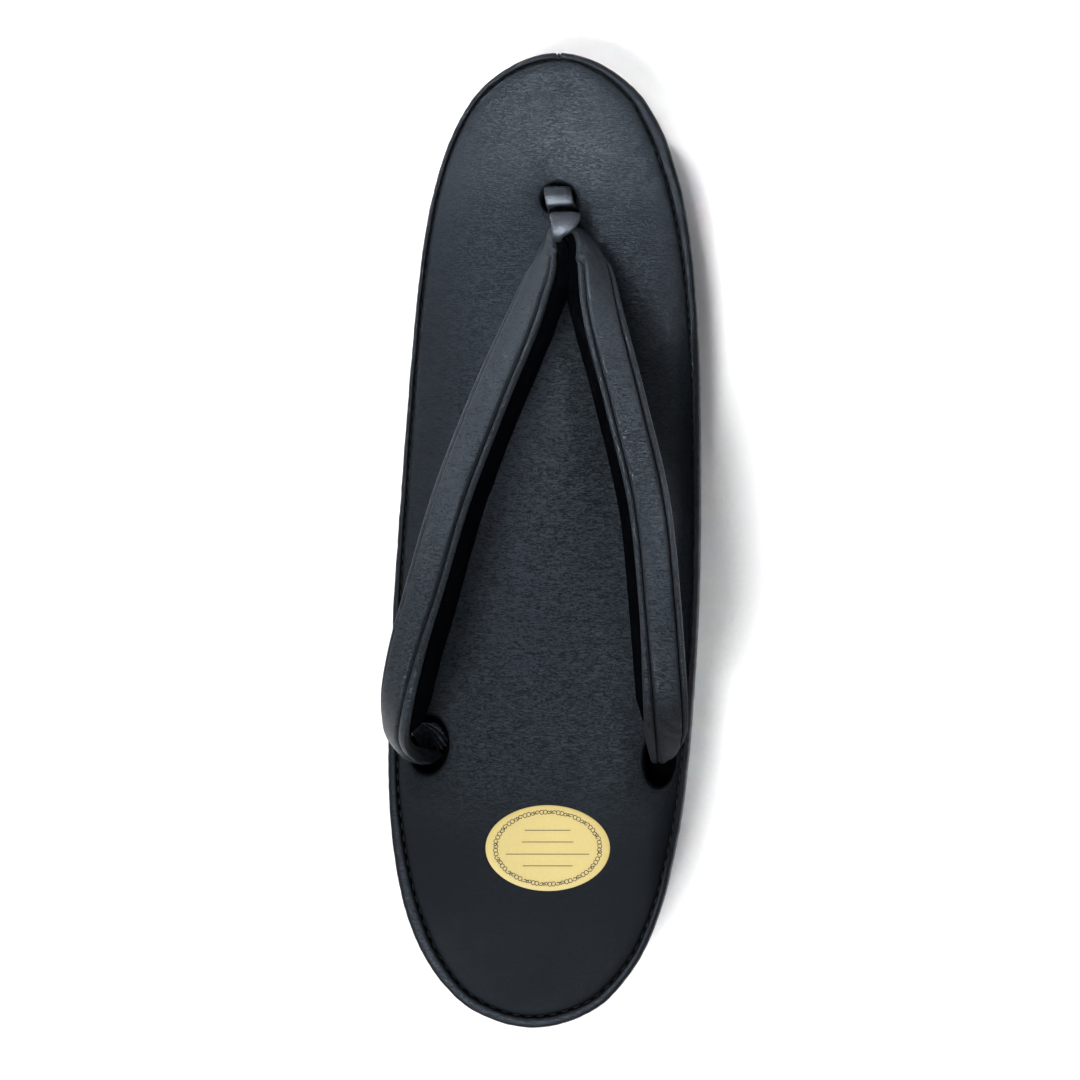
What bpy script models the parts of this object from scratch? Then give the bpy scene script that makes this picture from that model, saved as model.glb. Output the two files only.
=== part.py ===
"""A women's zori, a flat Japanese sandal with a V-shaped thong, covered in plain black vinyl.

It stands on the floor at z = 0 with the toe at +Y, the heel at -Y and +X to the right seen from above.
The origin is on the floor under the middle of the sandal. Tables and sizes are in millimetres, and MM
turns them to metres. Every piece is worked out from the last (the outline and the two profiles) and,
for the thong and its loop, from the line that the middle of the band follows.
"""

import math
from collections import namedtuple

import bmesh
import bpy
from mathutils import Vector

MM = 0.001
HEEL, TOE = -122.9, 124.2  # where the top edge ends
CLEARANCE = 0.3
EDGE_POINTS = 48  # points along each side of the outline, from heel to toe

OUTSOLE_THICKNESS = 4.0
OUTSOLE_SET_BACK = 0.6  # how far the rubber stays inside the foot of the base
RIM_DEPTH = 9.0
RIM_OVERHANG = 0.7  # the base starts this far inside the rim
PAD_DEPTH = 9.0  # board, foam and vinyl, below the crest of the rim
HOLE_DEPTH = 14.5  # the holes reach this far below the crest, into the base

# The last, a row for each section from heel to toe. station is measured from the origin,
# middle is the sideways place of the centre line, crest is the height of the top edge, tread that of
# the underside, and undercut is how far the foot of the base lies inside the top edge.
Section = namedtuple("Section", "station half_width middle crest tread undercut")
LAST = (
    Section(HEEL, 0.0, -0.5, 43.0, 1.4, 6.0),
    Section(-115.5, 19.4, -0.6, 42.6, 0.5, 5.8),
    Section(-100.5, 29.7, -0.8, 41.8, 0.0, 5.2),
    Section(-85.5, 34.4, -0.9, 40.6, 0.0, 4.8),
    Section(-63.0, 37.7, -0.7, 38.2, 0.0, 4.5),
    Section(-40.0, 38.8, -0.4, 35.0, 0.4, 4.5),
    Section(-15.0, 39.2, -0.2, 31.2, 1.7, 4.5),
    Section(12.0, 38.7, -0.1, 27.6, 1.2, 4.5),
    Section(43.0, 37.6, -0.1, 24.9, 0.0, 4.5),
    Section(66.5, 35.9, -0.3, 24.2, 0.0, 4.8),
    Section(82.0, 33.8, -0.5, 24.4, 0.7, 5.4),
    Section(97.0, 30.0, -0.7, 25.3, 2.2, 6.2),
    Section(112.2, 22.6, -0.8, 27.0, 4.7, 7.4),
    Section(TOE, 0.0, -1.0, 28.8, 7.0, 8.0),
)

# The width of the turned-over rim on each side. It was set a little askew, as handwork is.
Turning = namedtuple("Turning", "station left right")
RIM = (
    Turning(HEEL, 2.8, 2.8),
    Turning(-100.0, 3.5, 2.0),
    Turning(-60.0, 2.3, 1.7),
    Turning(0.0, 1.6, 1.8),
    Turning(60.0, 1.4, 2.3),
    Turning(105.0, 1.5, 3.2),
    Turning(TOE, 1.8, 1.8),
)

# The outsole's section and the cushion's: inset from the piece's own edge, and height over the tread
# line for the outsole, over the crest line for the cushion.
Step = namedtuple("Step", "inset height")
OUTSOLE_SECTION = (
    Step(0.6, 0.0),
    Step(0.0, 0.7),
    Step(0.0, OUTSOLE_THICKNESS - 0.4),
    Step(0.6, OUTSOLE_THICKNESS),
)
CUSHION = (
    Step(0.0, -PAD_DEPTH),
    Step(0.0, -1.7),
    Step(0.25, -0.7),
    Step(1.0, 0.1),
    Step(2.2, 0.6),
    Step(4.4, 0.8),
    Step(10.0, 0.6),
    Step(19.0, 0.2),
)

# The base's wall: up is the share of the way from its foot to its top, lean the share of the undercut
# that is left there, and soften an inset that rounds the top corner.
Course = namedtuple("Course", "up lean soften")
WALL = (
    Course(0.0, 1.0, 0.0),
    Course(0.05, 0.9, 0.0),
    Course(0.55, 0.42, 0.0),
    Course(0.95, 0.0, 0.0),
    Course(1.0, 0.0, 0.6),
)

# The rim's section, from its outer foot over the crest and down the inner wall. A point lies inside the
# edge by a share of the rim's width there plus an inset.
Bend = namedtuple("Bend", "share inset height")
RIM_SECTION = (
    Bend(0.0, 0.75, -RIM_DEPTH),
    Bend(0.0, 0.20, -7.6),
    Bend(0.0, 0.00, -4.6),
    Bend(0.0, 0.05, -2.2),
    Bend(0.0, 0.35, -0.8),
    Bend(0.0, 0.75, -0.1),
    Bend(0.55, 0.35, 0.0),
    Bend(1.0, -0.12, -0.6),
    Bend(1.0, 0.00, -1.1),
    Bend(1.0, 0.00, -RIM_DEPTH),
)

# The thong's middle line, from the turn at the toe back to the tail of a strap. middle is the sideways
# place of the line that halves the V, spread is the strap's distance from it, rise is the height over
# the crest line, and the tilts lean each strap's face outwards, in degrees. lining is how far the plump
# underside swells out beyond the face towards the foot.
Fold = namedtuple("Fold", "station middle spread rise tilt_left tilt_right width thick lining")
THONG = (
    Fold(78.3, 2.4, 0.0, 9.0, 86, 86, 7.6, 3.0, 0.0),
    Fold(77.2, 2.45, 3.0, 9.05, 85, 85, 7.8, 3.0, 0.0),
    Fold(74.2, 2.7, 5.0, 9.7, 77, 75, 8.8, 3.4, 0.2),
    Fold(69.0, 3.1, 6.5, 11.2, 57, 48, 9.8, 4.6, 1.0),
    Fold(59.0, 3.4, 8.7, 15.6, 37, 20, 10.5, 5.6, 2.0),
    Fold(33.0, 3.2, 16.6, 25.6, 18, 3, 10.8, 6.2, 2.8),
    Fold(8.4, 2.8, 23.6, 32.6, 15, 0, 10.8, 6.4, 3.0),
    Fold(-15.5, 2.0, 27.9, 36.6, 18, 0, 10.5, 6.4, 3.0),
    Fold(-28.0, 1.4, 29.7, 36.8, 22, 1, 10.1, 6.4, 3.0),
    Fold(-39.0, 1.2, 31.2, 33.4, 28, 4, 9.7, 6.4, 2.8),
    Fold(-47.4, 0.9, 31.9, 24.6, 36, 9, 9.3, 6.4, 2.2),
    Fold(-52.3, 0.9, 31.2, 12.6, 42, 12, 8.6, 6.2, 1.4),
    Fold(-54.9, 1.1, 30.1, 1.6, 46, 13, 7.8, 6.0, 0.7),
    Fold(-55.8, 1.2, 29.8, -12.5, 46, 13, 7.0, 5.8, 0.3),
)
STRAP_SIDES = 16
STRAP_STEPS = 52  # steps from the turn to a tail
STRAP_ROUNDNESS = 2.5  # 2 is an ellipse, more is boxier

# The toe loop's middle line, from the bottom of the front hole up, over the thong, and down again. Its
# rise is the height over the crest line at the loop's own top.
LOOP_TOP = 78.4
Ply = namedtuple("Ply", "station side rise width")
TOE_LOOP = (
    Ply(89.1, -0.6, -12.5, 6.2),
    Ply(89.6, -0.6, -2.5, 6.5),
    Ply(89.4, -0.5, 1.8, 6.8),
    Ply(87.9, -0.2, 4.2, 7.0),
    Ply(86.1, 0.4, 5.1, 7.1),
    Ply(84.0, 1.1, 5.0, 7.2),
    Ply(82.2, 1.7, 4.9, 7.4),
    Ply(81.1, 2.1, 6.8, 7.7),
    Ply(81.0, 2.3, 10.0, 7.9),
    Ply(80.4, 2.5, 12.8, 8.0),
    Ply(LOOP_TOP, 2.6, 14.2, 7.2),
    Ply(76.4, 2.5, 13.6, 4.4),
    Ply(75.3, 2.4, 11.0, 3.0),
    Ply(75.1, 2.4, 8.0, 2.8),
    Ply(75.7, 2.4, 4.8, 2.8),
    Ply(77.8, 2.2, 3.1, 3.6),
    Ply(81.4, 1.3, 2.4, 4.6),
    Ply(84.8, 0.2, 2.0, 5.2),
    Ply(86.6, -0.4, -1.6, 5.4),
    Ply(87.0, -0.6, -12.5, 5.6),
)
LOOP_THICKNESS = 1.6
LOOP_SIDES = 12
LOOP_STEPS = 60
LOOP_ROUNDNESS = 3.0

# The holes through the insole: place and half sizes.
Hole = namedtuple("Hole", "name station side half_length half_width")
HOLES = (
    Hole("hole_front", 87.6, -0.4, 4.4, 4.6),
    Hole("hole_left", -53.6, -28.3, 7.2, 5.0),
    Hole("hole_right", -55.0, 30.8, 7.2, 5.0),
)
HOLE_SIDES = 28

SHARP_ANGLE = math.radians(40)


def clear_scene():
    """Takes the startup objects out."""
    for obj in list(bpy.data.objects):
        bpy.data.objects.remove(obj)


def material(name, colour, roughness, metallic=0.0):
    """A plain Principled material."""
    made = bpy.data.materials.new(name)
    made.use_nodes = True
    shader = made.node_tree.nodes["Principled BSDF"]
    shader.inputs["Base Color"].default_value = (*colour, 1.0)
    shader.inputs["Roughness"].default_value = roughness
    shader.inputs["Metallic"].default_value = metallic
    made.diffuse_color = (*colour, 1.0)
    return made


def eased(places, values, at):
    """The value at a place on a smooth curve through the given ones that never swings past them."""
    at = min(max(at, min(places[0], places[-1])), max(places[0], places[-1]))
    rates = [(v1 - v0) / (p1 - p0) for p0, p1, v0, v1 in zip(places, places[1:], values, values[1:])]
    inner = [0.0 if a * b <= 0 else 2 * a * b / (a + b) for a, b in zip(rates, rates[1:])]
    slopes = [rates[0], *inner, rates[-1]]
    row = next(i for i in range(len(rates)) if (at - places[i]) * (at - places[i + 1]) <= 0)
    span = places[row + 1] - places[row]
    t = (at - places[row]) / span
    return (
        values[row] * (1 + 2 * t) * (1 - t) ** 2
        + values[row + 1] * t * t * (3 - 2 * t)
        + slopes[row] * span * t * (1 - t) ** 2
        - slopes[row + 1] * span * t * t * (1 - t)
    )


def read(table, column, station):
    """A column of a table at a station between its rows."""
    return eased([row.station for row in table], [getattr(row, column) for row in table], station)


def half_width(station):
    """Half the width of the last. The squares are eased, which makes both tips round."""
    squares = [row.half_width**2 for row in LAST]
    return math.sqrt(max(0.0, eased([row.station for row in LAST], squares, station)))


def edge_stations():
    """Stations from heel to toe that lie evenly along the edge."""
    fine = 2000
    turns = [math.pi * i / fine for i in range(fine + 1)]
    samples = [(TOE + HEEL) / 2 - (TOE - HEEL) / 2 * math.cos(turn) for turn in turns]
    walked = [0.0]
    for a, b in zip(samples, samples[1:]):
        walked.append(walked[-1] + math.hypot(b - a, half_width(b) - half_width(a)))
    stations = []
    for i in range(EDGE_POINTS + 1):
        goal = walked[-1] * i / EDGE_POINTS
        nearest = min(range(fine + 1), key=lambda k: abs(walked[k] - goal))
        stations.append(samples[nearest])
    return stations


def outline():
    """The top edge seen from above: up the right side from the heel, then down the left side."""
    stations = edge_stations()
    right = [Vector((read(LAST, "middle", s) + half_width(s), s)) for s in stations]
    left = [Vector((read(LAST, "middle", s) - half_width(s), s)) for s in stations[-2:0:-1]]
    return right + left


def inset(ring, distances):
    """A ring moved inwards, each point square to the edge there by its own distance."""
    moved = []
    for i, point in enumerate(ring):
        along = ring[(i + 1) % len(ring)] - ring[i - 1]
        inwards = Vector((-along.y, along.x)).normalized()
        moved.append(point + inwards * distances[i])
    return moved


def raised(ring, profile, lift):
    """A flat ring put at a height over the last's crest or tread line."""
    return [Vector((p.x, p.y, read(LAST, profile, p.y) + lift)) for p in ring]


def add_ring(bm, points):
    """Puts a ring of points, in millimetres, into the mesh."""
    verts = [bm.verts.new(point * MM) for point in points]
    edges = [bm.edges.new((verts[i - 1], verts[i])) for i in range(len(verts))]
    return verts, edges


def skin(bm, rings):
    """Joins each ring to the next."""
    made = [add_ring(bm, ring) for ring in rings]
    for (_, lower), (_, upper) in zip(made, made[1:]):
        bmesh.ops.bridge_loops(bm, edges=lower + upper)
    return made


def rungs(bm, verts):
    """Closes a ring of an outline with a rung from each right-hand point to the left-hand one."""
    count = len(verts)
    half = count // 2
    for i in range(half):
        corners = [verts[i], verts[i + 1], verts[(count - i - 1) % count], verts[(count - i) % count]]
        bm.faces.new(list(dict.fromkeys(corners)))


def solid(name, bm, finish):
    """Makes the mesh an object of its own, faces outwards and shaded smooth."""
    bmesh.ops.recalc_face_normals(bm, faces=bm.faces)
    bmesh.ops.triangulate(bm, faces=bm.faces)
    mesh = bpy.data.meshes.new(name)
    bm.to_mesh(mesh)
    bm.free()
    mesh.materials.append(finish)
    mesh.shade_smooth()
    mesh.set_sharp_from_angle(angle=SHARP_ANGLE)
    obj = bpy.data.objects.new(name, mesh)
    bpy.context.scene.collection.objects.link(obj)
    return obj


def layer(name, rings, finish):
    """A closed slab skinned over rings, from its underside to its top."""
    bm = bmesh.new()
    made = skin(bm, rings)
    rungs(bm, made[0][0])
    rungs(bm, made[-1][0])
    return solid(name, bm, finish)


def undercuts(ring):
    """How far the foot of the base lies inside each point of the edge."""
    return [read(LAST, "undercut", p.y) for p in ring]


def rim_widths(ring):
    """The rim's width at each point of the edge."""
    turn = len(ring) // 2
    return [read(RIM, "right" if i <= turn else "left", p.y) for i, p in enumerate(ring)]


def outsole(edge, finish):
    """The rubber sheet: it follows the foot of the base, with soft corners."""
    rings = []
    for step in OUTSOLE_SECTION:
        ring = inset(edge, [depth + OUTSOLE_SET_BACK + step.inset for depth in undercuts(edge)])
        rings.append(raised(ring, "tread", step.height))
    return layer("outsole", rings, finish)


def base(edge, finish):
    """The wrapped wedge between outsole and rim. Its wall leans in towards the floor, a little full."""
    rings = []
    for course in WALL:
        over = (1 - course.lean) * RIM_OVERHANG + course.soften
        ring = inset(edge, [course.lean * depth + over for depth in undercuts(edge)])
        low = raised(ring, "tread", OUTSOLE_THICKNESS + CLEARANCE)
        high = raised(ring, "crest", -RIM_DEPTH - CLEARANCE)
        rings.append([a.lerp(b, course.up) for a, b in zip(low, high)])
    return layer("base", rings, finish)


def top_rim(edge, finish):
    """The padded strip round the top edge, a closed ring with a rounded crest and a straight inner wall."""
    widths = rim_widths(edge)
    rings = []
    for bend in RIM_SECTION:
        ring = inset(edge, [bend.share * width + bend.inset for width in widths])
        rings.append(raised(ring, "crest", bend.height))
    bm = bmesh.new()
    made = skin(bm, rings)
    bmesh.ops.bridge_loops(bm, edges=made[-1][1] + made[0][1])
    return solid("top_rim", bm, finish)


def insole(edge, finish):
    """The cushion inside the rim: rolled edge, then nearly flat across."""
    rings = []
    for step in CUSHION:
        ring = inset(edge, [width + CLEARANCE + step.inset for width in rim_widths(edge)])
        rings.append(raised(ring, "crest", step.height))
    return layer("insole", rings, finish)


def smooth_path(rows, steps):
    """Rows read evenly along a smooth curve through their places: a list of rows of plain numbers."""
    places = [0.0]
    for a, b in zip(rows, rows[1:]):
        places.append(places[-1] + (Vector(b[:3]) - Vector(a[:3])).length)
    columns = list(zip(*rows))
    path = []
    for i in range(steps + 1):
        at = places[-1] * i / steps
        path.append([round_curve(places, column, at) for column in columns])
    return path


def round_curve(places, values, at):
    """A value on the curve that takes, at each row, the slope of the parabola through its neighbours."""
    last = len(places) - 1
    row = next(i for i in range(last) if at <= places[i + 1] or i == last - 1)
    span = places[row + 1] - places[row]
    t = (at - places[row]) / span
    slopes = []
    for i in (row, row + 1):
        if i == 0 or i == last:
            near = 0 if i == 0 else last - 1
            slopes.append((values[near + 1] - values[near]) / (places[near + 1] - places[near]))
            continue
        before, after = places[i] - places[i - 1], places[i + 1] - places[i]
        rate_before = (values[i] - values[i - 1]) / before
        rate_after = (values[i + 1] - values[i]) / after
        slopes.append((rate_before * after + rate_after * before) / (before + after))
    return (
        values[row] * (1 + 2 * t) * (1 - t) ** 2
        + values[row + 1] * t * t * (3 - 2 * t)
        + slopes[0] * span * t * (1 - t) ** 2
        - slopes[1] * span * t * t * (1 - t)
    )


def oval(sides, roundness):
    """The corners of a unit oval, boxier as roundness grows."""
    corners = []
    for i in range(sides):
        turn = 2 * math.pi * (i + 0.5) / sides
        across, up = math.cos(turn), math.sin(turn)
        corners.append(
            (
                math.copysign(abs(across) ** (2 / roundness), across),
                math.copysign(abs(up) ** (2 / roundness), up),
            )
        )
    return corners


def band(name, centres, sideways, faces, sections, finish):
    """A closed band swept along its middle line. sideways and faces are its two cross directions."""
    rings = []
    for centre, side, face, section in zip(centres, sideways, faces, sections):
        rings.append([centre + side * a + face * u for a, u in section])
    bm = bmesh.new()
    made = skin(bm, rings)
    for verts, _ in (made[0], made[-1]):
        bmesh.ops.contextual_create(bm, geom=verts)
    return solid(name, bm, finish)


def padded(width, thick, lining):
    """A strap's section: an oval whose underside swells out on the inner side by the lining's amount."""
    section = []
    for a, u in oval(STRAP_SIDES, STRAP_ROUNDNESS):
        inner_under = max(0.0, (-a - u) / math.sqrt(2)) ** 1.5
        section.append((a * width / 2 - lining * inner_under, u * thick / 2 - 0.35 * lining * inner_under))
    return section


def strap_line(sign, tilt):
    """The rows of one strap in the sandal's own frame, from the turn to the tail."""
    rows = []
    for fold in THONG:
        height = read(LAST, "crest", fold.station) + fold.rise
        lean = getattr(fold, tilt)
        place = (fold.middle + sign * fold.spread, fold.station, height)
        rows.append((*place, lean, fold.width, fold.thick, fold.lining))
    return smooth_path(rows, STRAP_STEPS)


def upper(finish):
    """The thong: one padded band from the left tail, round the turn at the toe, to the right tail."""
    line = strap_line(-1, "tilt_left")[::-1] + strap_line(1, "tilt_right")[1:]
    centres = [Vector(row[:3]) for row in line]
    sideways, faces = [], []
    for i, row in enumerate(line):
        tangent = (centres[min(i + 1, len(line) - 1)] - centres[max(i - 1, 0)]).normalized()
        outwards = Vector((-tangent.y, tangent.x, 0.0)).normalized()
        up = tangent.cross(outwards)
        tilt = math.radians(row[3])
        faces.append(up * math.cos(tilt) + outwards * math.sin(tilt))
        sideways.append(faces[-1].cross(tangent))
    return band("upper", centres, sideways, faces, [padded(*row[4:]) for row in line], finish)


def toe_loop(finish):
    """The flat band that holds the turn of the thong down, both ends in the front hole."""
    level = read(LAST, "crest", LOOP_TOP)
    rows = [(ply.side, ply.station, level + ply.rise, ply.width) for ply in TOE_LOOP]
    line = smooth_path(rows, LOOP_STEPS)
    centres = [Vector(row[:3]) for row in line]
    sideways, faces = [], []
    for i in range(len(line)):
        tangent = (centres[min(i + 1, len(line) - 1)] - centres[max(i - 1, 0)]).normalized()
        faces.append(Vector((1.0, 0.0, 0.0)).cross(tangent).normalized())
        sideways.append(tangent.cross(faces[-1]))
    shape = oval(LOOP_SIDES, LOOP_ROUNDNESS)
    sections = [[(a * row[3] / 2, u * LOOP_THICKNESS / 2) for a, u in shape] for row in line]
    return band("toe_loop", centres, sideways, faces, sections, finish)


def hole_cutter(hole):
    """An upright oval post that cuts a hole down through the insole and into the base."""
    bm = bmesh.new()
    bmesh.ops.create_cone(
        bm, cap_ends=True, segments=HOLE_SIDES, radius1=1.0, radius2=1.0, depth=1.0
    )
    top = read(LAST, "crest", hole.station)
    size = Vector((hole.half_width, hole.half_length, 2 * HOLE_DEPTH)) * MM
    bmesh.ops.scale(bm, verts=bm.verts, vec=size)
    bmesh.ops.translate(bm, verts=bm.verts, vec=Vector((hole.side, hole.station, top)) * MM)
    mesh = bpy.data.meshes.new(hole.name)
    bm.to_mesh(mesh)
    bm.free()
    cutter = bpy.data.objects.new(hole.name, mesh)
    cutter.hide_render = True
    cutter.display_type = "WIRE"
    bpy.context.scene.collection.objects.link(cutter)
    return cutter


def cut(obj, cutters):
    """Takes each cutter away from the object."""
    for cutter in cutters:
        boolean = obj.modifiers.new(cutter.name, "BOOLEAN")
        boolean.operation = "DIFFERENCE"
        boolean.solver = "EXACT"
        boolean.object = cutter


def build():
    """Makes the sandal from the floor up."""
    clear_scene()
    vinyl = material("black vinyl", (0.012, 0.013, 0.016), 0.42)
    smooth_vinyl = material("black vinyl wrap", (0.014, 0.015, 0.018), 0.36)
    rubber = material("foamed rubber", (0.02, 0.02, 0.02), 0.85)
    edge = outline()
    outsole(edge, rubber)
    wedge = base(edge, smooth_vinyl)
    top_rim(edge, smooth_vinyl)
    cushion = insole(edge, vinyl)
    upper(vinyl)
    toe_loop(smooth_vinyl)
    cutters = [hole_cutter(hole) for hole in HOLES]
    cut(cushion, cutters)
    cut(wedge, cutters)


build()
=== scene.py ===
"""Dresses the frame of a women's zori, a flat Japanese sandal, in black vinyl leather-cloth.

The sandal stands on the floor at z = 0 with its toe at +Y and +X to the right seen from above. Sizes are
in millimetres unless a name says otherwise, and MM turns them to metres. Each sub-assembly is a class:
its fields are its sizes, and its methods build its mesh and dress it.
"""

import logging
import math
from collections.abc import Callable, Sequence
from dataclasses import dataclass, field
from enum import Enum
from typing import NamedTuple

import bmesh
import bpy
import numpy as np
from bmesh.types import BMEdge, BMesh, BMVert
from bpy.types import ID, Material, Mesh, Node, NodeSocket, NodeTree, Object
from mathutils import Matrix, Vector, noise


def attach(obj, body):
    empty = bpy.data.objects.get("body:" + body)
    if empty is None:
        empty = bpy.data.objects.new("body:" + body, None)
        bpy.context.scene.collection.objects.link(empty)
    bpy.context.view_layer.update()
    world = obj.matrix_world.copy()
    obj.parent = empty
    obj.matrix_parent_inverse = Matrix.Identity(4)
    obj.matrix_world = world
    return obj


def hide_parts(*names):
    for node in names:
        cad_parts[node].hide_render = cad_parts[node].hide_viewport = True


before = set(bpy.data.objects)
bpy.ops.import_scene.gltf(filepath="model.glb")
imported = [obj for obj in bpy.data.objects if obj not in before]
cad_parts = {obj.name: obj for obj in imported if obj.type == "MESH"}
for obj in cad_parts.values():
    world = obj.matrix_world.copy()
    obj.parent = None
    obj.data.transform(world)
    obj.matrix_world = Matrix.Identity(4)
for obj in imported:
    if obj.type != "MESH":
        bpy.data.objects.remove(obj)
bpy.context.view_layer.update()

MM = 0.001
SHARP = 60.0  # the angle, in degrees, past which an edge is drawn sharp
HOLE_RINGS = 100  # more than the rings of a hole's mouth, so that one number says the hole and the ring
LOG = logging.getLogger("zori")


class Side(Enum):
    """Which side of the sandal, seen from above with the toe ahead."""

    LEFT = -1
    RIGHT = 1


# ---------------------------------------------------------------- curves and small tools


def eased(places: Sequence[float], values: Sequence[float], at: float) -> float:
    """Reads a smooth curve through the given values that never swings past them.

    Args:
        places: where the values stand, rising or falling.
        values: the value at each place.
        at: where to read; it is held inside the places.

    Returns:
        The value there.
    """
    at = min(max(at, min(places[0], places[-1])), max(places[0], places[-1]))
    rates = [(v1 - v0) / (p1 - p0) for p0, p1, v0, v1 in zip(places, places[1:], values, values[1:])]
    inner = [0.0 if a * b <= 0 else 2 * a * b / (a + b) for a, b in zip(rates, rates[1:])]
    slopes = [rates[0], *inner, rates[-1]]
    row = next(i for i in range(len(rates)) if (at - places[i]) * (at - places[i + 1]) <= 0)
    return hermite(places, values, (slopes[row], slopes[row + 1]), row, at)


def hermite(
    places: Sequence[float], values: Sequence[float], slopes: tuple[float, float], row: int, at: float
) -> float:
    """The cubic between a row and the next that has the given slopes at its two ends.

    Args:
        places: where the rows stand.
        values: the rows' values.
        slopes: the curve's slope at the row and at the next.
        row: the row before the place.
        at: where to read.

    Returns:
        The value there.
    """
    span = places[row + 1] - places[row]
    t = (at - places[row]) / span
    return (
        values[row] * (1 + 2 * t) * (1 - t) ** 2
        + values[row + 1] * t * t * (3 - 2 * t)
        + slopes[0] * span * t * (1 - t) ** 2
        - slopes[1] * span * t * t * (1 - t)
    )


def round_curve(places: Sequence[float], values: Sequence[float], at: float) -> float:
    """Reads the curve that takes, at each row, the slope of the parabola through its neighbours.

    Args:
        places: where the rows stand, rising.
        values: the rows' values.
        at: where to read.

    Returns:
        The value there.
    """
    last = len(places) - 1
    row = next(i for i in range(last) if at <= places[i + 1] or i == last - 1)
    slopes = []
    for i in (row, row + 1):
        near = min(max(i, 1), last - 1)
        before, after = places[near] - places[near - 1], places[near + 1] - places[near]
        rate_before = (values[near] - values[near - 1]) / before
        rate_after = (values[near + 1] - values[near]) / after
        if i == near:
            slopes.append((rate_before * after + rate_after * before) / (before + after))
        else:
            slopes.append(rate_before if i == 0 else rate_after)
    return hermite(places, values, (slopes[0], slopes[1]), row, at)


def smooth_path(rows: Sequence[Sequence[float]], steps: int) -> list[list[float]]:
    """Reads rows evenly along a smooth curve through their places.

    Args:
        rows: x, y, z and then any other numbers that go with a place.
        steps: how many steps the curve is cut into.

    Returns:
        steps + 1 rows of the same kind.
    """
    places = [0.0]
    for a, b in zip(rows, rows[1:]):
        places.append(places[-1] + (Vector(b[:3]) - Vector(a[:3])).length)
    columns = list(zip(*rows))
    return [[round_curve(places, c, places[-1] * i / steps) for c in columns] for i in range(steps + 1)]


def bell(distance: float, width: float) -> float:
    """A soft bump of height 1 at distance 0 that has faded by twice its width."""
    return math.exp(-((distance / width) ** 2))


def ramp(at: float, start: float, end: float) -> float:
    """0 before start, 1 past end and a smooth step between them; start may be the larger."""
    t = min(max((at - start) / (end - start), 0.0), 1.0)
    return t * t * (3 - 2 * t)


class Swell(NamedTuple):
    """A gentle unevenness: its height in millimetres, its swells to a step of each number, and its seed."""

    height: float
    first: float
    second: float
    seed: float


def uneven(swells: Sequence[Swell], first: float, second: float, turned: float = 1) -> float:
    """How far swells lift a place, the same each run.

    Args:
        swells: the swells, which add up.
        first: the place's first number, such as how far across it is.
        second: its second number.
        turned: what the seeds are multiplied by, so that two sides can differ.

    Returns:
        The lift, in millimetres.
    """
    places = [Vector((first * s.first, second * s.second, s.seed * turned)) for s in swells]
    return sum(s.height * noise.noise(place) for s, place in zip(swells, places))


def rounded(turn: float, roundness: float) -> tuple[float, float]:
    """A point of a superellipse of half size 1: it is a circle where roundness is 2, and boxier above."""
    across, up = math.cos(turn), math.sin(turn)
    power = 2 / roundness
    return math.copysign(abs(across) ** power, across), math.copysign(abs(up) ** power, up)


def directions(line: Sequence[Vector]) -> list[Vector]:
    """Which way a line runs at each of its points."""
    last = len(line) - 1
    return [(line[min(i + 1, last)] - line[max(i - 1, 0)]).normalized() for i in range(last + 1)]


def oval(middle: Sequence[float], half_width: float, half_length: float, count: int) -> list[Vector]:
    """A level oval ring of points, from its right side on round by the toe."""
    x, y, z = middle
    turns = [2 * math.pi * i / count for i in range(count)]
    return [Vector((x + half_width * math.cos(t), y + half_length * math.sin(t), z)) for t in turns]


def linear(shade: str) -> tuple[float, float, float, float]:
    """Turns an sRGB hex colour such as "#1a1c1e" to linear RGBA."""
    parts = [int(shade[i : i + 2], 16) / 255 for i in (1, 3, 5)]
    red, green, blue = (p / 12.92 if p <= 0.04045 else ((p + 0.055) / 1.055) ** 2.4 for p in parts)
    return red, green, blue, 1.0


# ---------------------------------------------------------------- mesh tools


def laid(rings: Sequence[Sequence[Vector]]) -> BMesh:
    """Lays a flat grid over rings, a row of the grid on each, and sews its two sides together.

    The layers "row" and "column" keep where on the grid a point came from, counted from 1.

    Args:
        rings: the rings' points, in millimetres, each ring with as many.

    Returns:
        The new mesh, in metres.
    """
    rows, columns = len(rings), len(rings[0]) + 1
    bm = bmesh.new()
    row_layer = bm.verts.layers.int.new("row")
    column_layer = bm.verts.layers.int.new("column")
    bmesh.ops.create_grid(bm, x_segments=columns - 1, y_segments=rows - 1, size=1.0)
    for vert in bm.verts:
        column = round((vert.co.x + 1) / 2 * (columns - 1)) % len(rings[0])
        row = round((vert.co.y + 1) / 2 * (rows - 1))
        vert[row_layer], vert[column_layer] = row + 1, column + 1
        vert.co = rings[row][column] * MM
    bmesh.ops.remove_doubles(bm, verts=bm.verts, dist=1e-7)
    return bm


def close_ends(bm: BMesh) -> None:
    """Closes every open end of a tube with one face."""
    bmesh.ops.holes_fill(bm, edges=[e for e in bm.edges if e.is_boundary], sides=0)


def mesh_of(name: str, bm: BMesh) -> Mesh:
    """Turns a bmesh to a mesh of that name, and frees it."""
    mesh = bpy.data.meshes.new(name)
    bm.to_mesh(mesh)
    bm.free()
    return mesh


def add_part(bm: BMesh, part: BMesh) -> None:
    """Adds a part to a mesh, and frees the part."""
    mesh = mesh_of("part", part)
    bm.from_mesh(mesh)
    bpy.data.meshes.remove(mesh)


def placed(name: str, data: ID) -> Object:
    """A new object in the scene."""
    obj = bpy.data.objects.new(name, data)
    bpy.context.scene.collection.objects.link(obj)
    return obj


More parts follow.
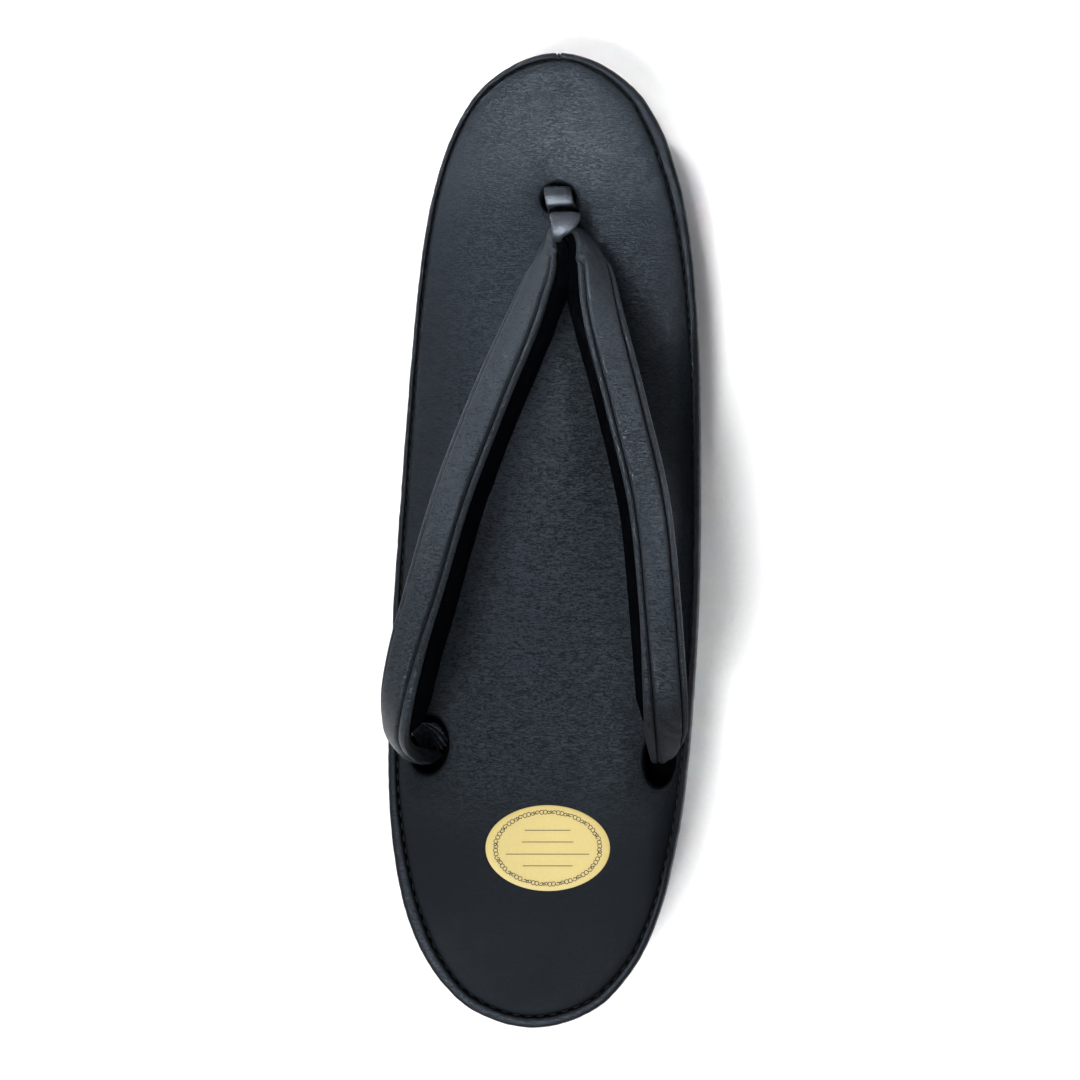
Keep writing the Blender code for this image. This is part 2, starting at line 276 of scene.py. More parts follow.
def ladder(bm: BMesh, row: int, columns: int, tip: int) -> None:
    """Fills the inside of a ring with a grid of faces that runs along the sandal.

    Args:
        bm: the mesh, with the layers that laid() leaves.
        row: the ring's number.
        columns: how many points the ring has.
        tip: how many points each side of heel and toe make the grid's short sides.
    """
    row_layer, column_layer = bm.verts.layers.int["row"], bm.verts.layers.int["column"]
    sides = []
    for edge in bm.edges:
        if not all(vert[row_layer] == row for vert in edge.verts):
            continue
        places = sorted(vert[column_layer] - 1 for vert in edge.verts)
        turned = [place % (columns // 2) for place in places]
        if min(turned) >= tip and max(turned) <= columns // 2 - tip and places[1] - places[0] == 1:
            sides.append(edge)
    bmesh.ops.grid_fill(bm, edges=sides, mat_nr=0, use_smooth=True, use_interp_simple=False)


def swept(
    line: Sequence[Vector],
    across: Sequence[Vector],
    up: Sequence[Vector],
    section: Callable[[int], Sequence[tuple[float, float]]],
) -> BMesh:
    """Sweeps a closed section along a line and closes both ends.

    Args:
        line: the line's points, in millimetres.
        across: the section's first direction at each point.
        up: its second direction at each point.
        section: gives the section's points at step i, each (across, up) in millimetres.

    Returns:
        The new mesh, in metres.
    """
    rings = []
    for i, centre in enumerate(line):
        rings.append([centre + across[i] * a + up[i] * u for a, u in section(i)])
    bm = laid(rings)
    close_ends(bm)
    return bm


def piece(
    name: str, bm: BMesh, finish: Material, stands_for: Sequence[str] = ()
) -> Object:
    """Makes a mesh a piece of the sandal that rides on its one body.

    Args:
        name: the piece's name.
        bm: its mesh, in metres; it is freed.
        finish: its material.
        stands_for: the CAD nodes that it replaces.

    Returns:
        The new object.
    """
    bmesh.ops.recalc_face_normals(bm, faces=bm.faces)
    mesh = mesh_of(name, bm)
    mesh.materials.append(finish)
    mesh.shade_smooth()
    mesh.set_sharp_from_angle(angle=math.radians(SHARP))
    obj = placed(name, mesh)
    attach(obj, "root")
    if stands_for:
        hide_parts(*stands_for)
    LOG.info("%s: %d faces", name, len(mesh.polygons))
    return obj


# ---------------------------------------------------------------- finishes


def add_node(
    tree: NodeTree,
    kind: str,
    settings: dict[str, object] | None = None,
    links: dict[str, NodeSocket] | None = None,
) -> Node:
    """Adds a node with its settings and links.

    Args:
        tree: the node tree.
        kind: the node's type, without the prefix ShaderNode.
        settings: values by name, for the node's own properties or its sockets.
        links: sockets of other nodes, by the name or number of the input they go to.

    Returns:
        The new node.
    """
    node = tree.nodes.new("ShaderNode" + kind)
    for name, value in (settings or {}).items():
        if isinstance(name, str) and hasattr(node, name):
            setattr(node, name, value)
        else:
            node.inputs[name].default_value = value
    for name, source in (links or {}).items():
        tree.links.new(source, node.inputs[name])
    return node


def blank(name: str) -> tuple[Material, NodeTree, Node, NodeSocket]:
    """A new material with its node tree, its Principled shader and a socket with the place in metres."""
    made = bpy.data.materials.new(name)
    made.use_nodes = True
    place = add_node(made.node_tree, "TexCoord").outputs["Object"]
    return made, made.node_tree, made.node_tree.nodes["Principled BSDF"], place


class Fade(NamedTuple):
    """A strength that goes smoothly from first to last, as what it is read from goes from start to end."""

    start: float
    end: float
    first: float
    last: float

    def settings(self) -> dict[str, object]:
        """The same as a Map Range node's settings."""
        sockets = zip(("From Min", "From Max", "To Min", "To Max"), self)
        return {"interpolation_type": "SMOOTHSTEP", **dict(sockets)}


def faded(tree: NodeTree, rows: Sequence[tuple[NodeSocket, Fade]], together: str = "MULTIPLY") -> NodeSocket:
    """Reads sockets through their fades and puts the strengths together.

    Args:
        tree: the node tree.
        rows: each socket with its fade.
        together: the operation that puts two strengths together.

    Returns:
        A socket with the strength.
    """
    whole = None
    for source, fade in rows:
        part = add_node(tree, "MapRange", fade.settings(), {"Value": source}).outputs["Result"]
        if whole is not None:
            part = add_node(tree, "Math", {"operation": together}, {0: whole, 1: part}).outputs[0]
        whole = part
    return whole


@dataclass(frozen=True)
class Press:
    """What the press that shaped the insole did to its cloth, by the place along or across it in metres.

    grain is how much of the embossing is left, tone how light the pressed skin is from the crease's shade
    to the ridge's, growing lighter towards the toe as a painted sheen, and gloss what is added to the
    roughness.
    """

    heel_grain: Fade = Fade(-0.080, -0.052, 0.10, 1.0)
    toe_grain: Fade = Fade(0.066, 0.092, 1.0, 0.55)
    side_grain: Fade = Fade(0.016, 0.033, 1.0, 0.40)
    # lighter towards the toe: a painted sheen there
    tone_and_toe_sheen: Fade = Fade(0.058, 0.115, 0.05, 0.8)
    heel_gloss: Fade = Fade(-0.080, -0.045, 0.15, 0.0)
    toe_gloss: Fade = Fade(0.045, 0.105, 0.0, -0.13)

    def grain_left(self, tree: NodeTree, place: NodeSocket) -> NodeSocket:
        """A socket from 0 to 1 with how much of the grain is left at a place."""
        parts = add_node(tree, "SeparateXYZ", links={0: place}).outputs
        outwards = add_node(tree, "Math", {"operation": "ABSOLUTE"}, {0: parts["X"]}).outputs[0]
        rows = ((parts["Y"], self.heel_grain), (parts["Y"], self.toe_grain), (outwards, self.side_grain))
        return faded(tree, rows)

    def toned_with_toe_sheen(self, tree: NodeTree, place: NodeSocket, left: NodeSocket, ridges: NodeSocket) -> NodeSocket:
        """How light the cloth is: by its ridges where grain is left, by its pressed tone, with painted sheen
        at the toe, elsewhere.

        Args:
            tree: the finish's node tree.
            place: the socket with the place.
            left: the socket with how much of the grain is left.
            ridges: the socket with the ridges.

        Returns:
            A socket from the crease's shade at 0 to the ridge's at 1.
        """
        forwards = add_node(tree, "SeparateXYZ", links={0: place}).outputs["Y"]
        tone_and_toe_sheen = add_node(tree, "MapRange", self.tone_and_toe_sheen.settings(), {"Value": forwards}).outputs["Result"]
        return add_node(tree, "Mix", {"data_type": "FLOAT"}, {0: left, 2: tone_and_toe_sheen, 3: ridges}).outputs[0]

    def roughened(self, tree: NodeTree, place: NodeSocket, rough: NodeSocket) -> NodeSocket:
        """The roughness with what the press changed: glossier at the toe and duller at the heel.

        Args:
            tree: the finish's node tree.
            place: the socket with the place.
            rough: the socket with the roughness elsewhere.

        Returns:
            A socket with the roughness.
        """
        forwards = add_node(tree, "SeparateXYZ", links={0: place}).outputs["Y"]
        both = faded(tree, [(forwards, self.heel_gloss), (forwards, self.toe_gloss)], "ADD")
        return add_node(tree, "Math", {"operation": "ADD"}, {0: rough, 1: both}).outputs[0]


@dataclass(frozen=True)
class Vinyl:
    """Black PVC leather-cloth, roller-embossed with a leather grain: a satin skin over soft pebbles.

    The lacquer has a faint blue cast. The creases of the grain are coloured darker than its ridges, as
    painted shade in the creases, and the skin is clouded by wear. Where the mesh has a layer of painted shade
    and the finish reads it, the finish is painted dark and matt there.
    """

    name: str
    shade: str = "#050708"
    worn: str = "#0a0d10"
    # the ridges' colour; the creases keep the darker skin, which is painted shade there
    ridge: str = "#252a2f"
    cast: str = "#dceaff"
    # the colour painted where the mesh's layer of painted shade is
    painted_shade_colour: str = "#010101"
    roughness: float = 0.42
    specular: float = 0.5
    grain: float = 0.46  # mm, about the way from one crease to the next but one
    drag: float = 0.27  # ridges lie across the sandal, longer that way by one over this
    crease: Fade = Fade(0.008, 0.085, 0.0, 1.0)  # from a crease's floor to its shoulder, in the noise's units
    depth: float = 0.055
    pores: float = 3400.0  # to the metre, as are the clouds
    pore_depth: float = 0.006
    clouds: float = 55.0
    press: Press | None = None
    # whether the finish reads the mesh's layer of painted shade
    reads_painted_shade: bool = False

    def material(self) -> Material:
        """Builds the finish's nodes."""
        made, tree, shader, place = blank(self.name)
        showing = self.ridges(tree, place)
        coarse = add_node(tree, "Bump", {"Strength": 1.0, "Distance": self.depth * MM}, {"Height": showing})
        clouds = add_node(
            tree, "TexNoise", {"Scale": self.clouds, "Detail": 4.0, "Roughness": 0.6}, {"Vector": place}
        ).outputs["Fac"]
        rough = add_node(
            tree,
            "MapRange",
            {
                "From Min": 0.3,
                "From Max": 0.7,
                "To Min": self.roughness - 0.04,
                "To Max": self.roughness + 0.05,
            },
            {"Value": clouds},
        ).outputs["Result"]
        if self.press:
            left = self.press.grain_left(tree, place)
            tree.links.new(left, coarse.inputs["Strength"])
            showing = self.press.toned_with_toe_sheen(tree, place, left, showing)
            rough = self.press.roughened(tree, place, rough)
        pores = add_node(
            tree, "TexNoise", {"Scale": self.pores, "Detail": 2.0, "Roughness": 0.6}, {"Vector": place}
        )
        fine = add_node(
            tree,
            "Bump",
            {"Strength": 0.5, "Distance": self.pore_depth * MM},
            {"Height": pores.outputs["Fac"], "Normal": coarse.outputs["Normal"]},
        )
        wear_and_painted_shade = add_node(tree, "MapRange", {"From Min": 0.35, "From Max": 0.75}, {"Value": clouds})
        skin = add_node(
            tree,
            "Mix",
            {"data_type": "RGBA", 6: linear(self.shade), 7: linear(self.worn)},
            {0: wear_and_painted_shade.outputs["Result"]},
        ).outputs[2]
        # The creases keep the darker skin and the ridges take the lighter colour: painted shade in the
        # creases.
        colour = add_node(
            tree, "Mix", {"data_type": "RGBA", 7: linear(self.ridge)}, {0: showing, 6: skin}
        ).outputs[2]
        # Painted shade: dark and matt where the mesh's layer says.
        if self.reads_painted_shade:
            painted_shade = add_node(tree, "Attribute", {"attribute_name": "painted_shade"}).outputs["Fac"]
            colour = add_node(
                tree, "Mix", {"data_type": "RGBA", 7: linear(self.painted_shade_colour)}, {0: painted_shade, 6: colour}
            ).outputs[2]
            rough = add_node(tree, "Mix", {"data_type": "FLOAT", 3: 1.0}, {0: painted_shade, 2: rough}).outputs[0]
        tree.links.new(colour, shader.inputs["Base Color"])
        tree.links.new(rough, shader.inputs["Roughness"])
        tree.links.new(fine.outputs["Normal"], shader.inputs["Normal"])
        shader.inputs["IOR"].default_value = 1.53
        shader.inputs["Specular IOR Level"].default_value = self.specular
        shader.inputs["Specular Tint"].default_value = linear(self.cast)
        return made

    def ridges(self, tree: NodeTree, place: NodeSocket) -> NodeSocket:
        """The embossed grain: creases where a noise passes its middle value, and ridges between them.

        Args:
            tree: the finish's node tree.
            place: the socket with the place.

        Returns:
            A socket from 0 in a crease to 1 on a ridge.
        """
        per_metre = 1000 / self.grain
        stretched = add_node(
            tree, "Mapping", {"Scale": (per_metre * self.drag, per_metre, per_metre)}, {"Vector": place}
        ).outputs["Vector"]
        pebbles = add_node(
            tree,
            "TexNoise",
            {"Scale": 1.0, "Detail": 1.0, "Roughness": 0.5, "Distortion": 0.9},
            {"Vector": stretched},
        ).outputs["Fac"]
        middle = add_node(tree, "Math", {"operation": "SUBTRACT", 1: 0.5}, {0: pebbles}).outputs[0]
        from_crease = add_node(tree, "Math", {"operation": "ABSOLUTE"}, {0: middle}).outputs[0]
        return add_node(tree, "MapRange", self.crease.settings(), {"Value": from_crease}).outputs["Result"]


@dataclass(frozen=True)
class Plain:
    """A thing of one colour, such as printed ink, sewing thread or a painted floor, a little mottled."""

    name: str
    shade: str
    mottled: str
    roughness: float
    mottles: float = 2000.0  # to the metre
    detail: float = 3.0
    breakup: float = 0.5
    specular: float = 0.5

    def material(self) -> Material:
        """Builds the finish's nodes."""
        made, tree, shader, place = blank(self.name)
        mottle = add_node(
            tree,
            "TexNoise",
            {"Scale": self.mottles, "Detail": self.detail, "Roughness": self.breakup},
            {"Vector": place},
        ).outputs["Fac"]
        colour = add_node(
            tree, "Mix", {"data_type": "RGBA", 6: linear(self.shade), 7: linear(self.mottled)}, {0: mottle}
        )
        tree.links.new(colour.outputs[2], shader.inputs["Base Color"])
        relief = self.relief(tree, place, mottle)
        if relief:
            tree.links.new(relief.outputs["Normal"], shader.inputs["Normal"])
        shader.inputs["Roughness"].default_value = self.roughness
        shader.inputs["Specular IOR Level"].default_value = self.specular
        return made

    def relief(self, tree: NodeTree, place: NodeSocket, mottle: NodeSocket) -> Node | None:
        """The finish's own fine relief, of which a plain thing has none.

        Args:
            tree: the finish's node tree.
            place: the socket with the place.
            mottle: the socket with the mottling.

        Returns:
            The node with the relief's normal, or None.
        """
        return None


@dataclass(frozen=True)
class Velvet(Plain):
    """Black cotton velvet: a short pile that swallows light, with a breath of lint at its edges."""

    name: str = "black velvet lining"
    shade: str = "#010102"
    mottled: str = "#040506"
    roughness: float = 1.0
    mottles: float = 120.0
    breakup: float = 0.6
    specular: float = 0.0
    pile: float = 0.35  # mm from tuft to tuft, drawn coarser than the real pile

    def relief(self, tree: NodeTree, place: NodeSocket, mottle: NodeSocket) -> Node:
        """The tufts of the pile."""
        tufts = add_node(
            tree, "TexNoise", {"Scale": 1000 / self.pile, "Detail": 2.0, "Roughness": 0.6}, {"Vector": place}
        )
        return add_node(
            tree, "Bump", {"Strength": 0.8, "Distance": 0.12 * MM}, {"Height": tufts.outputs["Fac"]}
        )


@dataclass(frozen=True)
class FoamedRubber(Plain):
    """Light foamed EVA rubber, cut from sheet: matt and dusty, with the fine open cells of a cut edge."""

    name: str = "foamed rubber"
    shade: str = "#1b1b1c"
    mottled: str = "#2a2a29"
    roughness: float = 0.82
    mottles: float = 90.0
    detail: float = 5.0
    breakup: float = 0.65
    cell: float = 0.6  # mm across

    def relief(self, tree: NodeTree, place: NodeSocket, mottle: NodeSocket) -> Node:
        """The cut cells."""
        cells = add_node(tree, "TexVoronoi", {"Scale": 1000 / self.cell}, {"Vector": place})
        return add_node(
            tree, "Bump", {"Strength": 0.7, "Distance": 0.08 * MM}, {"Height": cells.outputs["Distance"]}
        )


@dataclass(frozen=True)
class Paper(Plain):
    """Gold-tinted coated paper: a soft even sheen over faint fibres."""

    name: str = "gold coated paper"
    shade: str = "#bbaa68"
    mottled: str = "#ae9b56"
    roughness: float = 0.5
    mottles: float = 1400.0
    detail: float = 4.0
    breakup: float = 0.7

    def relief(self, tree: NodeTree, place: NodeSocket, mottle: NodeSocket) -> Node:
        """The fibres, which stand up a little where they are deeper in colour."""
        return add_node(tree, "Bump", {"Strength": 0.3, "Distance": 0.02 * MM}, {"Height": mottle})


# ---------------------------------------------------------------- the last


class Section(NamedTuple):
    """A section of the last: crest and tread are heights, undercut how far the foot lies inside."""

    station: float
    half_width: float
    middle: float
    crest: float
    tread: float
    undercut: float


@dataclass
class Last:
    """The outline and the two profiles that every piece of the sole follows."""

    sections: tuple[Section, ...] = (
        Section(-122.9, 0.0, -0.5, 43.0, 1.4, 6.0),
        Section(-115.5, 19.4, -0.6, 42.6, 0.5, 5.8),
        Section(-100.5, 29.7, -0.8, 41.8, 0.0, 5.2),
        Section(-85.5, 34.4, -0.9, 40.6, 0.0, 4.8),
        Section(-63.0, 37.7, -0.7, 38.2, 0.0, 4.5),
        Section(-40.0, 38.8, -0.4, 35.0, 0.4, 4.5),
        Section(-15.0, 39.2, -0.2, 31.2, 1.7, 4.5),
        Section(12.0, 38.7, -0.1, 27.6, 1.2, 4.5),
        Section(43.0, 37.6, -0.1, 24.9, 0.0, 4.5),
        Section(66.5, 35.9, -0.3, 24.2, 0.0, 4.8),
        Section(82.0, 33.8, -0.5, 24.4, 0.7, 5.4),
        Section(97.0, 30.0, -0.7, 25.3, 2.2, 6.2),
        Section(112.2, 22.6, -0.8, 27.0, 4.7, 7.4),
        Section(124.2, 0.0, -1.0, 28.8, 7.0, 8.0),
    )
    fine: int = 4000
    stations: np.ndarray = field(init=False)
    columns: dict[str, np.ndarray] = field(init=False)

    def __post_init__(self) -> None:
        """Reads every column finely, closer at heel and toe, so that later readings are quick."""
        places = [s.station for s in self.sections]
        turns = np.linspace(0.0, math.pi, self.fine + 1)
        self.stations = (places[-1] + places[0]) / 2 - (places[-1] - places[0]) / 2 * np.cos(turns)
        self.columns = {}
        for name in ("middle", "crest", "tread", "undercut"):
            values = [getattr(s, name) for s in self.sections]
            self.columns[name] = np.array([eased(places, values, y) for y in self.stations])
        squares = [s.half_width**2 for s in self.sections]
        self.columns["half_width"] = np.sqrt(
            np.maximum(0.0, [eased(places, squares, y) for y in self.stations])
        )

    def at(self, column: str, station: float) -> float:
        """A column of the last at a station."""
        return float(np.interp(station, self.stations, self.columns[column]))

    def edge(self, count: int) -> list[Vector]:
        """The top edge from above, evenly cut: from the heel up the right side, then down the left.

        Args:
            count: how many points, an even number.

        Returns:
            The points, flat.
        """
        widths = self.columns["half_width"]
        walked = np.concatenate([[0.0], np.cumsum(np.hypot(np.diff(self.stations), np.diff(widths)))])
        ring = []
        for i in range(count):
            share = i / (count // 2)
            side = Side.RIGHT if share <= 1 else Side.LEFT
            goal = walked[-1] * (share if share <= 1 else 2 - share)
            y = float(np.interp(goal, walked, self.stations))
            x = self.at("middle", y) + side.value * float(np.interp(goal, walked, widths))
            ring.append(Vector((x, y, 0.0)))
        return ring

    def raised(self, ring: Sequence[Vector], column: str, lift: float) -> list[Vector]:
        """A flat ring put at a height over the crest or tread line."""
        return [Vector((p.x, p.y, self.at(column, p.y) + lift)) for p in ring]


def inset(ring: Sequence[Vector], distances: Sequence[float]) -> list[Vector]:
    """Moves a flat ring inwards.

    Args:
        ring: the ring's points, counter-clockwise.
        distances: how far each goes, square to the ring there.

    Returns:
        The moved points.
    """
    moved = []
    for i, point in enumerate(ring):
        along = ring[(i + 1) % len(ring)] - ring[i - 1]
        moved.append(point + Vector((-along.y, along.x, 0.0)).normalized() * distances[i])
    return moved


def distances_to(points: np.ndarray, ring: Sequence[Vector]) -> np.ndarray:
    """How far each flat point is from a closed ring.

    Args:
        points: an array of x and y.
        ring: the ring's points.

    Returns:
        An array of distances.
    """
    starts = np.array([p.xy for p in ring])
    spans = np.roll(starts, -1, axis=0) - starts
    squares = (spans**2).sum(axis=1)
    nearest = np.full(len(points), np.inf)
    for start, span, square in zip(starts, spans, squares):
        away = points - start
        share = np.clip((away @ span) / square, 0.0, 1.0)
        nearest = np.minimum(nearest, ((away - share[:, None] * span) ** 2).sum(axis=1))
    return np.sqrt(nearest)


class Step(NamedTuple):
    """A point of a section: how far in from the piece's own edge, and its height over its line."""

    inset: float
    height: float


def drawn_tighter(point: Vector) -> float:
    """How much of the tighter, rounder edge a place has: all of it along the waist's right side."""
    return ramp(point.x, 8.0, 26.0) * ramp(point.y, 60.0, 44.0) * ramp(point.y, -92.0, -72.0)


# ---------------------------------------------------------------- the sole's pieces


@dataclass
class Outsole:
    """The foamed rubber sheet under the base, with fine cross ribs on its tread."""

    last: Last
    finish: FoamedRubber = FoamedRubber()
    points: int = 560
    thickness: float = 4.0
    set_back: float = 0.6
    section: tuple[Step, ...] = (
        Step(6.0, 4.0),
        Step(0.5, 4.0),
        Step(0.12, 3.85),
        Step(0.0, 3.5),
        Step(0.05, 2.2),
        Step(0.0, 0.7),
        Step(0.18, 0.2),
        Step(0.6, 0.0),
        Step(3.0, 0.0),
    )
    rib_pitch: float = 3.2
    rib_depth: float = 0.45
    tip: int = 14

    def build(self) -> Object:
        """Builds the sheet and presses the ribs into its tread."""
        edge = self.last.edge(self.points)
        rings = []
        for step in self.section:
            depths = [self.last.at("undercut", p.y) + self.set_back + step.inset for p in edge]
            rings.append(self.last.raised(inset(edge, depths), "tread", step.height))
        bm = laid(rings)
        ladder(bm, len(rings), self.points, self.tip)
        ladder(bm, 1, self.points, self.tip)
        row_layer = bm.verts.layers.int["row"]
        for vert in bm.verts:
            if vert[row_layer]:
                continue
            y = vert.co.y / MM
            tread = self.last.at("tread", y)
            upper_face = vert.co.z / MM > tread + self.thickness / 2
            rib = max(0.0, math.sin(2 * math.pi * y / self.rib_pitch)) ** 0.5 * self.rib_depth
            vert.co.z = (tread + (self.thickness if upper_face else rib)) * MM
        return piece("outsole_sheet", bm, self.finish.material(), ["outsole"])


class Course(NamedTuple):
    """A level of the base's wall: up its height, the share of the undercut left, and a soft inset."""

    up: float
    lean: float
    soften: float


@dataclass
class Base:
    """The cork wedge in its vinyl wrap, which is drawn tight and tucked in under the rim and the sole."""

    last: Last
    finish: Vinyl = Vinyl("vinyl wrap of the base", roughness=0.4, specular=0.24, ridge="#0e1013", depth=0.03)
    points: int = 640
    floor: float = 4.3
    roof: float = -9.3
    overhang: float = 0.7
    wall: tuple[Course, ...] = (
        Course(0.0, 1.0, 6.0),
        Course(0.0, 1.0, 0.5),
        Course(0.012, 1.0, 0.12),
        Course(0.05, 0.93, 0.0),
        Course(0.14, 0.83, 0.0),
        Course(0.3, 0.66, 0.0),
        Course(0.45, 0.51, 0.0),
        Course(0.6, 0.36, 0.0),
        Course(0.75, 0.2, 0.0),
        Course(0.88, 0.07, 0.0),
        Course(0.96, 0.0, 0.05),
        Course(0.99, 0.0, 0.35),
        Course(1.0, 0.0, 0.8),
        Course(1.0, 0.0, 6.0),
    )
    pucker: float = 0.16
    pucker_pitch: float = 4.4
    tight: tuple[float, float] = (70.0, 108.0)  # how far along the cloth begins to turn tight, and has
    turn_middle: float = 88.0  # the station that the turn goes round at heel and toe, and its radius
    turn_radius: float = 34.0
    wave: float = 0.10
    tip: int = 16

    def build(self) -> Object:
        """Builds the wrapped wedge, puckered where the cloth turns tight round heel and toe."""
        edge = self.last.edge(self.points)
        rings = []
        for course in self.wall:
            over = (1 - course.lean) * self.overhang + course.soften
            ring = inset(edge, [course.lean * self.last.at("undercut", p.y) + over for p in edge])
            low = self.last.raised(ring, "tread", self.floor)
            high = self.last.raised(ring, "crest", self.roof)
            rings.append([self.drawn(a.lerp(b, course.up), course.up) for a, b in zip(low, high)])
        bm = laid(rings)
        ladder(bm, 1, self.points, self.tip)
        ladder(bm, len(rings), self.points, self.tip)
        return piece("base_wrap", bm, self.finish.material(), ["base"])

    def drawn(self, point: Vector, up: float) -> Vector:
        """A point of the wall moved as drawn cloth is: small puckers at the foot, faint waves above.

        Args:
            point: the point, in millimetres.
            up: its share of the way up the wall.

        Returns:
            The moved point.
        """
        tight = ramp(abs(point.y), *self.tight)
        turn = math.atan2(point.x, abs(point.y) - self.turn_middle) * self.turn_radius
        fold = abs(math.sin(math.pi * turn / self.pucker_pitch + 1.7 * noise.noise(point * 0.05)))
        foot = bell(up, 0.16) * tight * self.pucker * (1 - fold)
        wave = self.wave * noise.noise(point * 0.045) * ramp(up, 0.0, 0.2) * ramp(up, 1.0, 0.85)
        outwards = Vector((point.x, point.y * 0.35, 0.0)).normalized()
        return point + outwards * (wave - foot)


class Turning(NamedTuple):
    """The width of the turned-over rim on each side at a station."""

    station: float
    left: float
    right: float


class Bend(NamedTuple):
    """A point of the rim's section: a share of its width plus an inset, and the height over the crest."""

    share: float
    inset: float
    height: float


@dataclass
class TopRim:
    """The soft strip sewn to the insole and turned over the top edge, butted together at the toe tip."""

    last: Last
    finish: Vinyl = Vinyl(
        "vinyl strip of the rim", roughness=0.44, specular=0.19, ridge="#0f1215", grain=0.6, depth=0.03
    )
    points: int = 900
    turnings: tuple[Turning, ...] = (
        Turning(-122.9, 2.8, 2.8),
        Turning(-100.0, 3.5, 2.0),
        Turning(-60.0, 2.3, 1.7),
        Turning(0.0, 1.6, 1.8),
        Turning(60.0, 1.4, 2.3),
        Turning(105.0, 1.5, 3.2),
        Turning(124.2, 1.8, 1.8),
    )
    section: tuple[Bend, ...] = (
        Bend(0.0, 1.6, -9.0),
        Bend(0.0, 0.75, -9.0),
        Bend(0.0, 0.42, -8.6),
        Bend(0.0, 0.20, -7.6),
        Bend(0.0, 0.04, -6.2),
        Bend(0.0, 0.00, -4.6),
        Bend(0.0, 0.00, -3.3),
        Bend(0.0, 0.04, -2.0),
        Bend(0.0, 0.13, -1.2),
        Bend(0.0, 0.28, -0.65),
        Bend(0.0, 0.50, -0.26),
        Bend(0.08, 0.66, -0.06),
        Bend(0.3, 0.60, 0.0),
        Bend(0.6, 0.30, 0.0),
        Bend(0.82, 0.10, -0.05),
        Bend(0.94, 0.00, -0.22),
        Bend(1.0, -0.05, -0.6),
        Bend(1.0, 0.00, -1.2),
        Bend(1.0, 0.00, -9.0),
    )
    swells: tuple[Swell, ...] = (Swell(0.10, 0.16, 0.16, 0.0), Swell(0.08, 0.55, 0.55, 3.0))
    worn_down: float = 0.75  # how far the crest falls outwards along the right side, which was drawn tighter
    butt: float = -0.9  # the butt joint's sideways place
    nick: float = 0.45  # half the distance between its two turned corners
    butt_from: float = 115.0  # the station past which the joint shows
    finer: tuple[float, float] = (119.0, 2.6)  # the mesh is finer past this station, this far aside of it

    def widths(self, ring: Sequence[Vector]) -> list[float]:
        """The rim's width at each point of the edge."""
        places = [t.station for t in self.turnings]
        half = len(ring) // 2
        left = [t.left for t in self.turnings]
        right = [t.right for t in self.turnings]
        return [eased(places, right if i <= half else left, p.y) for i, p in enumerate(ring)]

    def build(self) -> Object:
        """Builds the strip with its puckers and its butt joint."""
        edge = self.last.edge(self.points)
        widths = self.widths(edge)
        rings = []
        for bend in self.section:
            ring = inset(edge, [bend.share * w + bend.inset for w in widths])
            ring = self.last.raised(ring, "crest", bend.height)
            upper = ramp(bend.height, -6.0, -2.0) * (1 - bend.share)
            for point in ring:
                point.z -= self.worn_down * upper * drawn_tighter(point)
            rings.append(ring)
        bm = laid(rings + rings[:1])
        station, aside = self.finer
        near = {v for v in bm.verts if v.co.y > station * MM and abs(v.co.x / MM - self.butt) < aside}
        around = [e for e in bm.edges if near.issuperset(e.verts)]
        level = [e for e in around if abs(e.verts[0].co.x - e.verts[1].co.x) > 0.3 * MM]
        bmesh.ops.subdivide_edges(bm, edges=level, cuts=4, use_grid_fill=True)
        for vert in bm.verts:
            vert.co = self.sewn(vert.co / MM) * MM
        return piece("rim_strip", bm, self.finish.material(), ["top_rim"])

    def sewn(self, point: Vector) -> Vector:
        """A point of the strip moved as sewing leaves it: wavy, and nicked at the butt joint.

        Args:
            point: the point, in millimetres.

        Returns:
            The moved point.
        """
        crest = self.last.at("crest", point.y)
        upper = ramp(point.z, crest - 7.5, crest - 3.0)
        outwards = Vector((point.x, point.y * 0.3, 0.0)).normalized()
        swell = uneven(self.swells, point.x, point.y)
        moved = point + (outwards + Vector((0.0, 0.0, 0.6))) * swell * upper
        if point.y > self.butt_from:
            gap = abs(abs(point.x - self.butt) - self.nick)
            cut = 0.42 * bell(gap, 0.17) + 0.08 * bell(point.x - self.butt, 0.5)
            moved -= Vector((0.0, 0.8, 0.6)) * cut * upper
        return moved


class Hole(NamedTuple):
    """A hole through the insole.

    lean shifts its soft mouth sideways, flare is the mouth's width, and sink how far the thong's pull
    draws the cloth round it down.
    """

    station: float
    side: float
    half_length: float
    half_width: float
    lean: float
    flare: float
    sink: float

    def mouth(self, turned: float) -> tuple[float, float, float]:
        """The mouth's middle across, half width and half length at a share of its turn down."""
        left = 1 - turned
        flare = self.flare * left
        return self.side + self.lean * left, self.half_width + flare, self.half_length + flare


